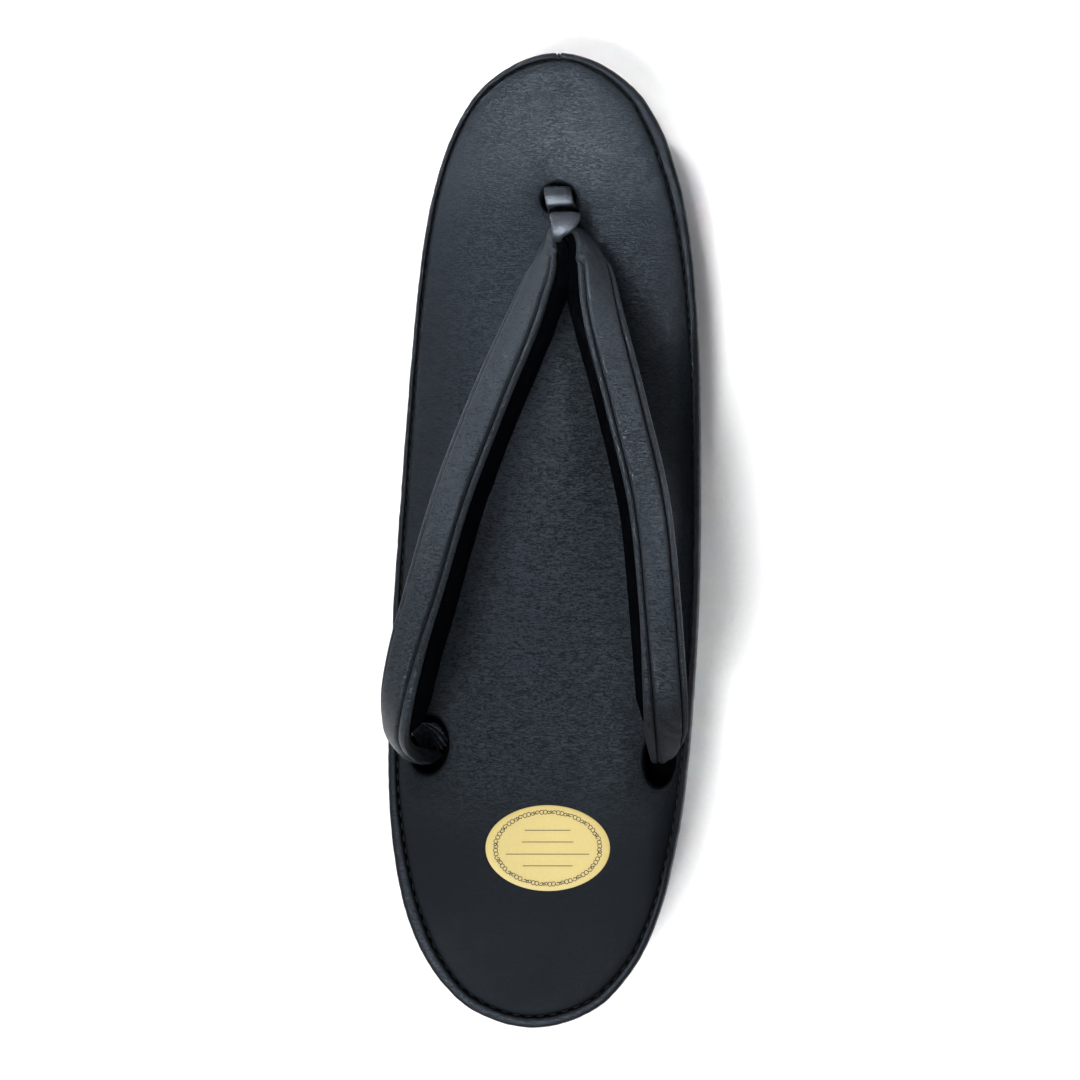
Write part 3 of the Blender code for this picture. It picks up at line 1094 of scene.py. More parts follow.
@dataclass
class Insole:
    """The cushioned top: vinyl over foam, rolled down at its edge and drawn into the three holes."""

    last: Last
    rim: TopRim
    finish: Vinyl = Vinyl(
        "vinyl leather-cloth of the insole", depth=0.09, roughness=0.41, specular=0.085, press=Press()
    )
    points: int = 400
    clearance: float = 0.3
    depth: float = 9.0
    insets: tuple[float, ...] = (
        0.0, 0.07, 0.18, 0.34, 0.55, 0.85, 1.25, 1.75, 2.4, 3.2, 4.2, 5.5, 7.2, 9.2, 11.5
    )
    # The cushion's edge round most of the sole, nearly flush with the rim up to the seam, and where the
    # cloth was drawn tighter.
    cushion: tuple[Step, ...] = (
        Step(0.0, -1.5),
        Step(0.07, -1.0),
        Step(0.18, -0.55),
        Step(0.35, -0.2),
        Step(0.6, 0.0),
        Step(1.2, 0.16),
        Step(2.5, 0.32),
        Step(5.0, 0.4),
        Step(10.0, 0.36),
        Step(19.0, 0.22),
        Step(38.0, 0.1),
    )
    tighter: tuple[Step, ...] = (
        Step(0.0, -2.3),
        Step(0.4, -1.75),
        Step(1.0, -1.15),
        Step(1.8, -0.6),
        Step(2.8, -0.12),
        Step(4.0, 0.2),
        Step(5.5, 0.36),
        Step(10.0, 0.36),
        Step(19.0, 0.22),
        Step(38.0, 0.1),
    )
    holes: tuple[Hole, ...] = (
        Hole(87.3, -0.3, 4.2, 4.5, 0.1, 0.6, 0.3),
        Hole(-53.6, -28.3, 7.2, 5.0, 0.3, 0.9, 0.6),
        Hole(-55.0, 30.3, 7.2, 4.1, -0.3, 0.45, 0.6),
    )
    mouth: tuple[Step, ...] = (
        Step(0.0, -0.1),
        Step(0.3, -0.25),
        Step(0.6, -0.6),
        Step(0.85, -1.2),
        Step(1.0, -2.2),
    )
    swells: tuple[Swell, ...] = (Swell(0.10, 0.06, 0.045, 0.0),)
    puckers: tuple[Swell, ...] = (Swell(0.09, 0.5, 0.5, 8.0),)
    pucker_reach: float = 1.4  # how far in from the seam they fade
    # How a hole's pull fades round it: the shares of its sink, and how far out each reaches.
    pulls: tuple[tuple[float, float], ...] = ((1.0, 2.2), (0.35, 7.0))
    tip: int = 11
    edge: list[Vector] = field(init=False)
    fine: np.ndarray = field(init=False)
    swellings: tuple[np.ndarray, np.ndarray] = field(init=False)

    def __post_init__(self) -> None:
        """Works out the insole's own edge, and how the cushion swells inwards from it."""
        outline = self.last.edge(self.points)
        self.edge = inset(outline, [w + self.clearance for w in self.rim.widths(outline)])
        self.fine = np.linspace(0.0, self.cushion[-1].inset, 4000)
        self.swellings = tuple(
            np.array([eased([s.inset for s in steps], [s.height for s in steps], d) for d in self.fine])
            for steps in (self.cushion, self.tighter)
        )

    def top(self, points: np.ndarray) -> np.ndarray:
        """The height of the cushioned top.

        Args:
            points: an array of x and y.

        Returns:
            An array of heights.
        """
        away = distances_to(points, self.edge)
        crest = np.interp(points[:, 1], self.last.stations, self.last.columns["crest"])
        tight = np.array([drawn_tighter(Vector((x, y))) for x, y in points])
        usual, drawn = (np.interp(away, self.fine, swelling) for swelling in self.swellings)
        height = crest + usual + (drawn - usual) * tight
        height += [uneven(self.swells, x, y) for x, y in points]
        puckers = [uneven(self.puckers, x, y) for x, y in points]
        height += np.exp(-((away / self.pucker_reach) ** 2)) * np.array(puckers)
        for hole in self.holes:
            past = np.maximum(0.0, self.reach(points, hole, hole.flare) - 1.0) * hole.half_width
            height -= hole.sink * sum(share * np.exp(-((past / reach) ** 2)) for share, reach in self.pulls)
        return height

    @staticmethod
    def reach(points: np.ndarray, hole: Hole, margin: float) -> np.ndarray:
        """How far out each point lies from a hole's middle, 1 being the mouth with that margin.

        Args:
            points: an array of x and y.
            hole: the hole.
            margin: how far past the hole's own wall the mouth lies.

        Returns:
            An array of shares.
        """
        across = (points[:, 0] - hole.side - hole.lean) / (hole.half_width + margin)
        along = (points[:, 1] - hole.station) / (hole.half_length + margin)
        return np.hypot(across, along)

    def open_hole(self, bm: BMesh, hole: Hole, number: int) -> None:
        """Cuts a hole in the flat cloth and sews in a mouth of rings that turn down.

        Args:
            bm: the flat mesh.
            hole: the hole.
            number: counts the holes, for the layer that keeps the ring of a point.
        """
        ring_layer = bm.verts.layers.int["ring"]
        bm.verts.ensure_lookup_table()
        places = np.array([v.co.xy for v in bm.verts]) / MM
        inner = self.reach(places, hole, hole.flare + 0.12) < 1.0
        bm.verts.index_update()
        gone = [f for f in bm.faces if any(inner[v.index] for v in f.verts)]
        edges = dict.fromkeys(e for f in gone for e in f.edges)
        rim = [e for e in edges if any(other not in gone for other in e.link_faces)]
        bmesh.ops.delete(bm, geom=gone, context="FACES")
        rim = [e for e in rim if e.is_valid and e.is_boundary]
        shape = Matrix.Diagonal((hole.half_width + hole.flare, hole.half_length + hole.flare, 1.0, 1.0))
        place = Matrix.Translation((hole.side + hole.lean, hole.station, 0.0))
        scale = Matrix.Scale(MM, 4)
        circle = bmesh.ops.create_circle(bm, segments=80, radius=1.0, matrix=scale @ place @ shape)
        loop = list(dict.fromkeys(e for v in circle["verts"] for e in v.link_edges))
        bmesh.ops.triangle_fill(bm, use_beauty=True, use_dissolve=False, edges=rim + loop, normal=(0, 0, 1))
        for vert in circle["verts"]:
            vert[ring_layer] = HOLE_RINGS * number + 1
        for count, step in enumerate(self.mouth[1:], 2):
            grown = bmesh.ops.extrude_edge_only(bm, edges=loop)["geom"]
            verts = [g for g in grown if isinstance(g, BMVert)]
            loop = [g for g in grown if isinstance(g, BMEdge) and all(v in verts for v in g.verts)]
            was_middle, was_wide, was_long = hole.mouth(self.mouth[count - 2].inset)
            middle, wide, long = hole.mouth(step.inset)
            for vert in verts:
                across = (vert.co.x / MM - was_middle) / was_wide
                along = (vert.co.y / MM - hole.station) / was_long
                turn = math.atan2(along, across)
                vert.co.x = (middle + wide * math.cos(turn)) * MM
                vert.co.y = (hole.station + long * math.sin(turn)) * MM
                vert[ring_layer] = HOLE_RINGS * number + count

    def build(self) -> Object:
        """Cuts the cloth flat, opens the holes, gives it its depth and then its heights."""
        bm = laid([inset(self.edge, [d] * self.points) for d in self.insets])
        bm.verts.layers.int.new("ring")
        ladder(bm, len(self.insets), self.points, self.tip)
        for number, hole in enumerate(self.holes, 1):
            self.open_hole(bm, hole, number)
        extruded = bmesh.ops.extrude_face_region(bm, geom=list(bm.faces))["geom"]
        under = {g for g in extruded if isinstance(g, BMVert)}
        ring_layer = bm.verts.layers.int["ring"]
        verts = list(bm.verts)
        places = np.array([v.co.xy for v in verts]) / MM
        for vert, (x, y), height in zip(verts, places, self.top(places)):
            if vert in under:
                vert.co.z = (self.last.at("crest", y) - self.depth) * MM
                continue
            ring = vert[ring_layer] % HOLE_RINGS
            drop = self.mouth[ring - 1].height if ring else 0.0
            vert.co.z = (height + drop) * MM
        obj = piece("insole_cushion", bm, self.finish.material(), ["insole"])
        return obj


@dataclass
class HoleShadeCups:
    """Black cloth cups in the three holes, below their mouths: painted shade where the holes fall dark."""

    insole: Insole
    velvet: Velvet
    wall: float = 0.3
    play: float = 0.05
    top: float = -1.5
    bottom: float = -7.6
    floor: float = 0.4
    sunk: float = 1.2  # how many times further than the cloth round its hole the sleeve is drawn down
    points: int = 72

    def build(self) -> Object:
        """Builds a cup for each hole, open at the top."""
        bm = bmesh.new()
        for hole in self.insole.holes:
            crest = self.insole.last.at("crest", hole.station) - hole.sink * self.sunk
            rings = []
            for inwards, height in (
                (self.play, self.bottom),
                (self.play, self.top),
                (self.play + self.wall, self.top),
                (self.play + self.wall, self.bottom + self.floor),
            ):
                wide, long = hole.half_width - inwards, hole.half_length - inwards
                rings.append(oval((hole.side, hole.station, crest + height), wide, long, self.points))
            cup = laid(rings)
            close_ends(cup)
            add_part(bm, cup)
        return piece("hole_shade_cups", bm, self.velvet.material())


# ---------------------------------------------------------------- the thong


class Fold(NamedTuple):
    """A row of the thong's middle line, with the tilt of each strap's face, and the band's sizes there.

    lining is how far the plump underside swells out beyond the face towards the foot.
    """

    station: float
    middle: float
    spread: float
    rise: float
    tilt_left: float
    tilt_right: float
    width: float
    thick: float
    lining: float


class Crease(NamedTuple):
    """A soft trough in a strap's face: its place, half sizes, depth, and turn off square in degrees."""

    side: Side
    station: float
    across: float
    length: float
    width: float
    depth: float
    turn: float


# The strap's underside, which is the same however its edge is finished.
UNDERSIDE = ((5.20, 0.20), (4.80, -0.30), (4.10, -0.85), (3.00, -1.25), (1.60, -1.42), (0.0, -1.45))


class Edging(Enum):
    """How an edge of a strap is finished, as half of the shell's section.

    Each is read from the middle of the face round to the middle of the shell's back, across and up.
    PIPED falls into a seam groove and stands up again as a piping; TURNED has no groove, and two soft
    corners mark its turned edge.
    """

    PIPED = (
        (0.0, 2.70), (1.3, 2.68), (2.4, 2.60), (3.0, 2.48), (3.35, 2.22), (3.52, 1.75), (3.60, 1.20),
        (3.74, 0.92), (3.88, 1.22), (4.05, 1.68), (4.38, 1.96), (4.80, 1.96), (5.15, 1.72), (5.38, 1.30),
        (5.40, 0.75), *UNDERSIDE,
    )
    TURNED = (
        (0.0, 2.70), (1.3, 2.68), (2.4, 2.62), (3.1, 2.54), (3.55, 2.46), (3.82, 2.30), (3.94, 2.05),
        (4.04, 1.90), (4.16, 1.88), (4.36, 1.92), (4.70, 1.92), (5.00, 1.84), (5.24, 1.60), (5.38, 1.20),
        (5.38, 0.70), *UNDERSIDE,
    )


class StrapStep(NamedTuple):
    """One step along the thong: its row of sizes, and which strap it is on."""

    x: float
    station: float
    height: float
    tilt: float
    width: float
    thick: float
    lining: float
    side: Side


class ShadeTuft(NamedTuple):
    """The black velvet tuft at the turn, painted shade in the crease between the toe loop's plies: its place
    across, along and over the crest, and its half sizes.
    """

    side: float
    station: float
    rise: float
    half_width: float
    half_length: float
    half_height: float


@dataclass
class Thong:
    """The padded V: a vinyl shell with piped edges, sewn over a plump velvet lining that faces the foot."""

    last: Last
    finish: Vinyl = Vinyl(
        "vinyl leather-cloth of the thong",
        ridge="#292e33",
        roughness=0.4,
        specular=0.18,
        grain=0.44,
        depth=0.10,
        # it paints shade into the seam grooves and on the right tail's end
        reads_painted_shade=True,
    )
    velvet: Velvet = Velvet()
    folds: tuple[Fold, ...] = (
        Fold(78.3, 2.4, 0.0, 9.0, 86, 86, 7.6, 3.0, 0.0),
        Fold(77.2, 2.7, 3.0, 9.05, 84, 80, 7.8, 3.0, 1.4),
        Fold(74.2, 3.4, 4.8, 9.7, 72, 64, 8.8, 3.4, 2.7),
        Fold(69.0, 3.9, 6.0, 11.2, 50, 42, 9.8, 4.6, 3.1),
        Fold(59.0, 3.8, 8.5, 15.6, 34, 20, 10.3, 5.6, 2.8),
        Fold(33.0, 3.4, 16.8, 25.6, 18, 3, 10.3, 6.2, 2.9),
        Fold(8.4, 3.1, 23.9, 32.6, 15, 2, 10.1, 6.4, 3.0),
        Fold(-15.5, 2.2, 28.3, 36.6, 19, 2, 10.0, 6.4, 3.0),
        Fold(-28.0, 1.4, 30.5, 36.8, 26, 4, 9.8, 6.4, 3.0),
        Fold(-39.0, 0.8, 32.1, 33.4, 36, 8, 9.6, 6.4, 2.7),
        Fold(-47.4, 0.2, 32.7, 25.2, 48, 20, 9.3, 6.2, 0.9),
        Fold(-52.9, 0.3, 32.0, 13.6, 58, 36, 7.9, 5.6, 0.1),
        Fold(-55.6, 0.7, 30.8, 2.6, 62, 50, 6.4, 5.0, 0.0),
        Fold(-56.6, 1.1, 29.9, -12.5, 62, 54, 5.6, 4.8, 0.0),
    )
    steps: int = 230
    full_width: float = 10.8
    full_thick: float = 6.4
    section_points: int = 46
    lining_points: int = 44
    roundness: float = 2.5
    creases: tuple[Crease, ...] = (
        Crease(Side.RIGHT, 17.0, -1.6, 2.2, 0.7, 0.5, 20.0),
        Crease(Side.RIGHT, -1.5, -1.0, 2.6, 0.8, 0.22, -15.0),
        Crease(Side.LEFT, 36.0, 1.0, 2.6, 1.1, 0.25, 35.0),
        Crease(Side.LEFT, 3.0, 0.0, 3.2, 1.2, 0.2, 5.0),
        Crease(Side.LEFT, -12.0, 1.0, 2.5, 1.0, 0.16, -25.0),
        Crease(Side.RIGHT, 44.0, 0.6, 2.6, 1.1, 0.2, -30.0),
        Crease(Side.RIGHT, -30.0, 0.5, 3.0, 1.2, 0.18, 12.0),
        Crease(Side.RIGHT, -42.5, 1.2, 4.2, 0.9, 0.45, -38.0),
        Crease(Side.RIGHT, -46.0, 1.6, 3.6, 0.8, 0.5, -38.0),
    )
    # Each pair of stations is where something starts along a strap and where all of it is there.
    outer_piping: tuple[float, float] = (76.2, 69.0)
    left_start: float = 70.3  # where the foot-side piping starts on the left strap, and on the right one
    right_start: float = 69.2
    hook: float = 1.5  # how far its start juts out over the gap, and the hook's half length
    hook_length: float = 1.7
    right_shortened: tuple[float, float] = (-38.0, -50.0)
    right_shorter: float = 2.6  # how much nearer the toe the right tail goes down
    # a black tuft put in the toe loop's crease as painted shade
    shade_tuft: ShadeTuft = ShadeTuft(1.5, 83.4, 3.5, 3.8, 1.5, 1.9)
    groove: float = 3.74  # how far out the seam groove beside the piping lies
    groove_point: float = 16.1  # and which of a side's points is its floor
    groove_spread: float = 3.0  # over how many points its painted shade fades
    left_groove: float = 0.4  # how much of that shows at the left strap's turned edge
    # where the painted shade on the right tail's end starts, and where it is full
    tail_shade_span: tuple[float, float] = (-28.0, -42.0)
    wear_and_painted_shade: float = 0.6  # how dark the right tail's end is painted, as painted shade where it turns down
    spread: tuple[float, float] = (-14.0, -48.0)
    spreading: float = 0.85  # how much wider the foot-side piping is pulled towards the tails
    tail: tuple[float, float] = (-44.0, -54.0)
    flattening: float = 0.3  # how much of the piping is flattened in the tails
    pleats: int = 11
    pleat_depth: float = 0.2
    slimming: tuple[float, float] = (-43.0, -49.0)
    swells: tuple[Swell, ...] = (Swell(0.06, 0.25, 0.14, 7.0), Swell(0.03, 0.7, 0.5, 3.0))
    nap: tuple[Swell, ...] = (Swell(0.10, 1.3, 0.9, 4.0), Swell(0.14, 0.22, 0.3, 9.0))

    def line(self, side: Side) -> list[StrapStep]:
        """One strap's steps from the turn to the tail, evenly along it."""
        rows = []
        for fold in self.folds:
            height = self.last.at("crest", fold.station) + fold.rise
            tilt = fold.tilt_left if side is Side.LEFT else fold.tilt_right
            x = fold.middle + side.value * fold.spread
            station = fold.station
            if side is Side.RIGHT:
                station += self.right_shorter * ramp(station, *self.right_shortened)
            rows.append((x, station, height, tilt, fold.width, fold.thick, fold.lining))
        return [StrapStep(*row, side) for row in smooth_path(rows, self.steps)]

    def build(self) -> list[Object]:
        """Sweeps the shell and the lining from the left tail round the turn to the right tail."""
        steps = self.line(Side.LEFT)[::-1] + self.line(Side.RIGHT)[1:]
        centres = [Vector(step[:3]) for step in steps]
        ups, acrosses = [], []
        for step, along in zip(steps, directions(centres)):
            outwards = Vector((-along.y, along.x, 0.0)).normalized()
            tilt = math.radians(step.tilt)
            ups.append(along.cross(outwards) * math.cos(tilt) + outwards * math.sin(tilt))
            acrosses.append(ups[-1].cross(along))
        halves = {edging: self.evenly(edging.value) for edging in Edging}
        shell = swept(centres, acrosses, ups, lambda i: self.shell_section(steps[i], halves))
        # paints shade into the seam grooves and on the right tail's end
        self.painted_shade(shell, steps)
        lining = swept(centres, acrosses, ups, lambda i: self.lining_section(steps[i]))
        # adds the black tuft of painted shade in the toe loop's crease
        self.shade_turn_crease(lining)
        straps = piece("thong_straps", shell, self.finish.material(), ["upper"])
        padding = piece("thong_lining", lining, self.velvet.material())
        return [straps, padding]

    def piped(self, step: StrapStep) -> tuple[float, float, float]:
        """How much of the outer and of the foot-side piping is there at a step, and the latter's start."""
        start = self.left_start if step.side is Side.LEFT else self.right_start
        outer = ramp(step.station, *self.outer_piping)
        return outer, ramp(step.station, start + 1.4, start - 0.8), start

    def painted_shade(self, bm: BMesh, steps: Sequence[StrapStep]) -> None:
        """Writes a layer of painted shade: 1 in the seam grooves, and part of it on the right tail's end.

        Args:
            bm: the shell, with the layers that laid() leaves.
            steps: the steps that it was swept over.
        """
        layer = bm.verts.layers.float.new("painted_shade")
        row_layer, column_layer = bm.verts.layers.int["row"], bm.verts.layers.int["column"]
        for vert in bm.verts:
            step = steps[vert[row_layer] - 1]
            place = vert[column_layer] - 1
            outside = place <= self.section_points
            place = place if outside else 2 * self.section_points - place
            outer, inner, _ = self.piped(step)
            share = bell(place - self.groove_point, self.groove_spread) * (outer if outside else inner)
            if outside and step.side is Side.LEFT:
                share *= self.left_groove
            # painted shade on the right tail's end, where it turns down
            if step.side is Side.RIGHT:
                share = max(share, self.wear_and_painted_shade * ramp(step.station, *self.tail_shade_span))
            vert[layer] = share

    def evenly(self, profile: Sequence[tuple[float, float]]) -> list[tuple[float, float]]:
        """Reads a half section at as many points as the shell's sides have."""
        places = list(range(len(profile)))
        steps = [i * places[-1] / self.section_points for i in range(self.section_points + 1)]
        across, up = [p[0] for p in profile], [p[1] for p in profile]
        return [(eased(places, across, at), eased(places, up, at)) for at in steps]

    def shell_section(
        self, step: StrapStep, halves: dict[Edging, list[tuple[float, float]]]
    ) -> list[tuple[float, float]]:
        """The vinyl shell's section at one step.

        Args:
            step: the step.
            halves: the evenly read half section of each edging.

        Returns:
            The section's points, each across (outwards) and up, in millimetres.
        """
        across_scale, up_scale = step.width / self.full_width, step.thick / self.full_thick
        outer, inner, start = self.piped(step)
        jut = self.hook * max(0.0, 1 - abs(step.station - start) / self.hook_length)
        lean = math.radians(step.tilt)
        tail = ramp(step.station, *self.tail)
        spread = self.spreading * ramp(step.station, *self.spread)
        outer_edging = Edging.TURNED if step.side is Side.LEFT else Edging.PIPED
        points = []
        for direction, edging, piped in ((1, outer_edging, outer), (-1, Edging.PIPED, inner)):
            rim = []
            for i, (a, u) in enumerate(halves[edging]):
                if direction < 0 and a > self.groove:
                    a = self.groove + (a - self.groove) * (1 + spread)
                    u *= 1 + 0.25 * spread
                turn = math.pi * (0.5 - i / self.section_points)
                plain_a, plain_u = rounded(turn, self.roundness)
                plain_a, plain_u = self.full_width / 2 * plain_a, self.full_thick / 2 * plain_u
                piped_here = piped * (1 - self.flattening * tail)
                across = (plain_a + (a - plain_a) * piped_here) * direction
                up = plain_u + (u - plain_u) * piped_here
                if turn > 0.3:
                    up += self.dent(step.side, step.station, across)
                if direction < 0:
                    across -= jut * math.cos(lean) * bell(turn - 0.25, 0.45)
                    up -= jut * math.sin(lean) * bell(turn - 0.25, 0.45)
                gather = math.cos(self.pleats * (turn + 0.4)) * self.pleat_depth * tail
                gather *= ramp(-across, -3.5, 1.5)
                reach = 1 + gather / 5.0
                rim.append((across * reach * across_scale, up * reach * up_scale))
            points.append(rim)
        outer_half, inner_half = points
        return outer_half + inner_half[-2:0:-1]

    def lining_section(self, step: StrapStep) -> list[tuple[float, float]]:
        """The lining's section at one step: a plump oval that swells out towards the foot.

        Args:
            step: the step.

        Returns:
            The section's points, each across (outwards) and up, in millimetres.
        """
        points = []
        lean = math.radians(step.tilt)
        slim = 1 - 0.5 * ramp(step.station, *self.slimming)
        fade = min(1.0, step.lining)
        for i in range(self.lining_points):
            a, u = rounded(2 * math.pi * (i + 0.5) / self.lining_points, self.roundness)
            swell = step.lining * max(0.0, (-a - u) / math.sqrt(2)) ** 1.5
            nap = uneven(self.nap, step.station, i, step.side.value)
            across = a * step.width / 2 * (0.96 if a < 0 else 0.9) * slim - swell * math.cos(lean)
            up = min(u * 0.96, 0.0) * step.thick / 2 * slim - swell * (0.3 * math.cos(lean) + math.sin(lean))
            points.append((across + nap * a * fade, up + nap * min(u, 0.0) * fade))
        return points

    def shade_turn_crease(self, bm: BMesh) -> None:
        """Adds the black velvet tuft that fills the crease between the toe loop's two plies, as painted shade
        there.

        Args:
            bm: the lining's mesh.
        """
        x, y, rise, *half_sizes = self.shade_tuft
        place = Matrix.Translation(Vector((x, y, self.last.at("crest", y) + rise)) * MM)
        size = Matrix.Diagonal((*(half * MM for half in half_sizes), 1.0))
        ball = bmesh.ops.create_uvsphere(bm, u_segments=40, v_segments=20, radius=1.0, matrix=place @ size)
        for vert in ball["verts"]:
            vert.co += (vert.co - place.translation) * 0.12 * noise.noise(vert.co / MM * 1.3)

    def dent(self, side: Side, station: float, across: float) -> float:
        """How far creases and the padding's unevenness move a point of a strap's face."""
        moved = uneven(self.swells, across, station, side.value)
        for crease in self.creases:
            if crease.side is not side or abs(station - crease.station) > 8:
                continue
            turn = math.radians(crease.turn)
            dx, dy = across - crease.across, station - crease.station
            over = dx * math.cos(turn) + dy * math.sin(turn)
            through = dy * math.cos(turn) - dx * math.sin(turn)
            fade = bell(over, crease.length)
            moved -= crease.depth * bell(through, crease.width) * fade
            moved += 0.35 * crease.depth * bell(through - 1.9 * crease.width, crease.width) * fade
        return moved


class Tuck(NamedTuple):
    """A row of the gathered tail: its place, its half width, and how deep its folds are."""

    side: float
    station: float
    rise: float
    half_width: float
    fold: float


@dataclass
class GatheredTail:
    """The left strap's vinyl where it is gathered and pulled down through its hole, fanned in soft folds."""

    last: Last
    # its grain's ridges are coloured lighter than the strap's: a painted highlight on the folds
    finish: Vinyl = Vinyl(
        "gathered vinyl of the tail", ridge="#3c4248", roughness=0.26, specular=1.0, grain=0.5, depth=0.015
    )
    tucks: tuple[Tuck, ...] = (
        Tuck(-32.6, -49.2, -1.6, 1.6, 0.3),
        Tuck(-31.6, -48.9, -0.4, 2.0, 0.6),
        Tuck(-30.4, -49.2, 0.3, 2.6, 0.9),
        Tuck(-28.8, -50.6, -0.3, 3.2, 1.1),
        Tuck(-27.4, -52.9, -2.2, 3.6, 1.2),
        Tuck(-26.7, -55.2, -6.2, 3.4, 0.7),
        Tuck(-27.0, -56.0, -12.0, 3.0, 0.3),
    )
    across: tuple[float, float, float] = (0.86, 0.5, 0.0)  # the way that the fan is spread
    folds: float = 4.5
    thickness: float = 1.2
    steps: int = 70
    sides: int = 120

    def build(self) -> Object:
        """Sweeps the folded sheet down into the hole."""
        crests = [self.last.at("crest", t.station) for t in self.tucks]
        rows = smooth_path(
            [(t.side, t.station, c + t.rise, t.half_width, t.fold) for t, c in zip(self.tucks, crests)],
            self.steps,
        )
        centres = [Vector(row[:3]) for row in rows]
        across = Vector(self.across)
        ups = [across.cross(along).normalized() * -1 for along in directions(centres)]

        def section(i: int) -> list[tuple[float, float]]:
            """The sheet's section at a step, its upper side thrown into folds."""
            points = []
            for k in range(self.sides):
                share = abs(2 * k / self.sides - 1) * 2 - 1
                top = k >= self.sides // 2
                wave = math.cos(math.pi * self.folds * (share + 0.15 * math.sin(3 * share + i * 0.03)))
                up = rows[i][4] * (abs(wave) ** 0.7 * 2 - 1) if top else -self.thickness
                points.append((share * rows[i][3], up - 0.8 * share * share))
            return points

        bm = swept(centres, [across] * len(rows), ups, section)
        return piece("gathered_tail", bm, self.finish.material())


class Ply(NamedTuple):
    """A row of the toe loop's middle line; rise is over the crest at the loop's own top."""

    station: float
    side: float
    rise: float
    width: float


@dataclass
class ToeLoop:
    """The flat vinyl band from the front hole, over the turn of the thong and back down the hole."""

    last: Last
    finish: Vinyl = Vinyl(
        "smooth vinyl of the toe loop", ridge="#1d2024", roughness=0.38, specular=0.8, grain=0.5, depth=0.02
    )
    top: float = 78.4
    plies: tuple[Ply, ...] = (
        Ply(89.0, -0.6, -12.5, 6.2),
        Ply(89.5, -0.6, -2.5, 6.5),
        Ply(89.6, -0.5, 0.6, 6.8),
        Ply(89.1, -0.3, 2.6, 7.0),
        Ply(88.0, -0.1, 3.9, 7.0),
        Ply(86.6, 0.3, 4.8, 7.1),
        Ply(85.4, 0.6, 4.7, 7.2),
        Ply(84.7, 0.9, 3.8, 7.2),
        Ply(83.6, 1.2, 2.5, 7.3),
        Ply(82.4, 1.6, 1.3, 7.3),
        Ply(81.4, 2.0, 0.4, 7.4),
        Ply(80.6, 2.2, 0.8, 7.5),
        Ply(80.5, 2.3, 3.4, 7.7),
        Ply(81.0, 2.4, 6.6, 7.8),
        Ply(81.5, 2.5, 9.8, 7.9),
        Ply(81.2, 2.7, 12.3, 7.9),
        Ply(79.8, 2.7, 14.1, 7.6),
        Ply(78.0, 2.1, 14.9, 5.8),
        Ply(76.2, 1.3, 14.5, 3.4),
        Ply(74.6, 1.1, 12.6, 1.9),
        Ply(74.0, 1.1, 8.8, 1.4),
        Ply(75.7, 1.3, 4.6, 2.4),
        Ply(77.8, 1.4, 1.9, 3.6),
        Ply(80.4, 0.9, -2.2, 4.4),
        Ply(83.4, 0.0, -4.6, 5.0),
        Ply(86.0, -0.7, -6.4, 5.4),
        Ply(87.0, -0.7, -12.5, 5.6),
    )
    thickness: float = 1.6
    steps: int = 220
    sides: int = 56
    roundness: float = 3.2
    fine_wrinkles: tuple[Swell, ...] = (Swell(0.10, 3.2, 0.05, 1.0),)
    wrinkles: tuple[Swell, ...] = (Swell(0.06, 1.2, 0.3, 5.0),)

    def build(self) -> Object:
        """Sweeps the band along its line."""
        level = self.last.at("crest", self.top)
        rows = smooth_path([(p.side, p.station, level + p.rise, p.width) for p in self.plies], self.steps)
        centres = [Vector(row[:3]) for row in rows]
        alongs = directions(centres)
        ups = [Vector((1.0, 0.0, 0.0)).cross(along).normalized() for along in alongs]
        acrosses = [along.cross(up) for along, up in zip(alongs, ups)]

        def section(i: int) -> list[tuple[float, float]]:
            """The band's section at a step, with the fine wrinkles of folded vinyl."""
            points = []
            for k in range(self.sides):
                a, u = rounded(2 * math.pi * (k + 0.5) / self.sides, self.roundness)
                wrinkle = uneven(self.fine_wrinkles, a, i, u) + uneven(self.wrinkles, a, i)
                points.append((a * rows[i][3] / 2, u * self.thickness / 2 + wrinkle * u))
            return points

        bm = swept(centres, acrosses, ups, section)
        return piece("toe_loop_band", bm, self.finish.material(), ["toe_loop"])


# ---------------------------------------------------------------- trimmings


@dataclass
class RimStitches:
    """The seam between insole and rim: black thread showing as short stitches down in the groove."""

    insole: Insole
    finish: Plain = Plain("bonded black thread", "#0c0d0e", "#161819", 0.6)
    pitch: float = 3.1
    length: float = 2.0
    thread: float = 0.22
    sink: float = -1.25
    tighter_sink: float = -1.3  # and how much lower they lie where the edge was drawn tighter
    swells: tuple[Swell, ...] = (Swell(0.25, 1.7, 0.0, 2.0),)

    def build(self) -> Object:
        """Lays one stitch after the other round the groove."""
        ring = inset(self.insole.edge, [-self.insole.clearance / 2] * len(self.insole.edge))
        walked = [0.0]
        for i, point in enumerate(ring):
            walked.append(walked[-1] + (ring[(i + 1) % len(ring)] - point).length)
        count = round(walked[-1] / self.pitch)
        bm = bmesh.new()
        for i in range(count):
            at = walked[-1] * i / count
            k = next(j for j in range(len(ring)) if walked[j + 1] >= at)
            share = (at - walked[k]) / (walked[k + 1] - walked[k])
            here = ring[k].lerp(ring[(k + 1) % len(ring)], share)
            along = ring[(k + 1) % len(ring)] - ring[k]
            height = self.insole.last.at("crest", here.y) + self.sink
            height += self.tighter_sink * drawn_tighter(here) + uneven(self.swells, i, 0.0)
            turn = Matrix.Rotation(math.atan2(along.y, along.x), 4, "Z")
            place = Matrix.Translation(Vector((here.x, here.y, height)) * MM)
            size = Matrix.Diagonal((self.length * MM, self.thread * MM, self.thread * MM, 1.0))
            bmesh.ops.create_uvsphere(bm, u_segments=6, v_segments=6, radius=0.5, matrix=place @ turn @ size)
        return piece("rim_stitches", bm, self.finish.material())


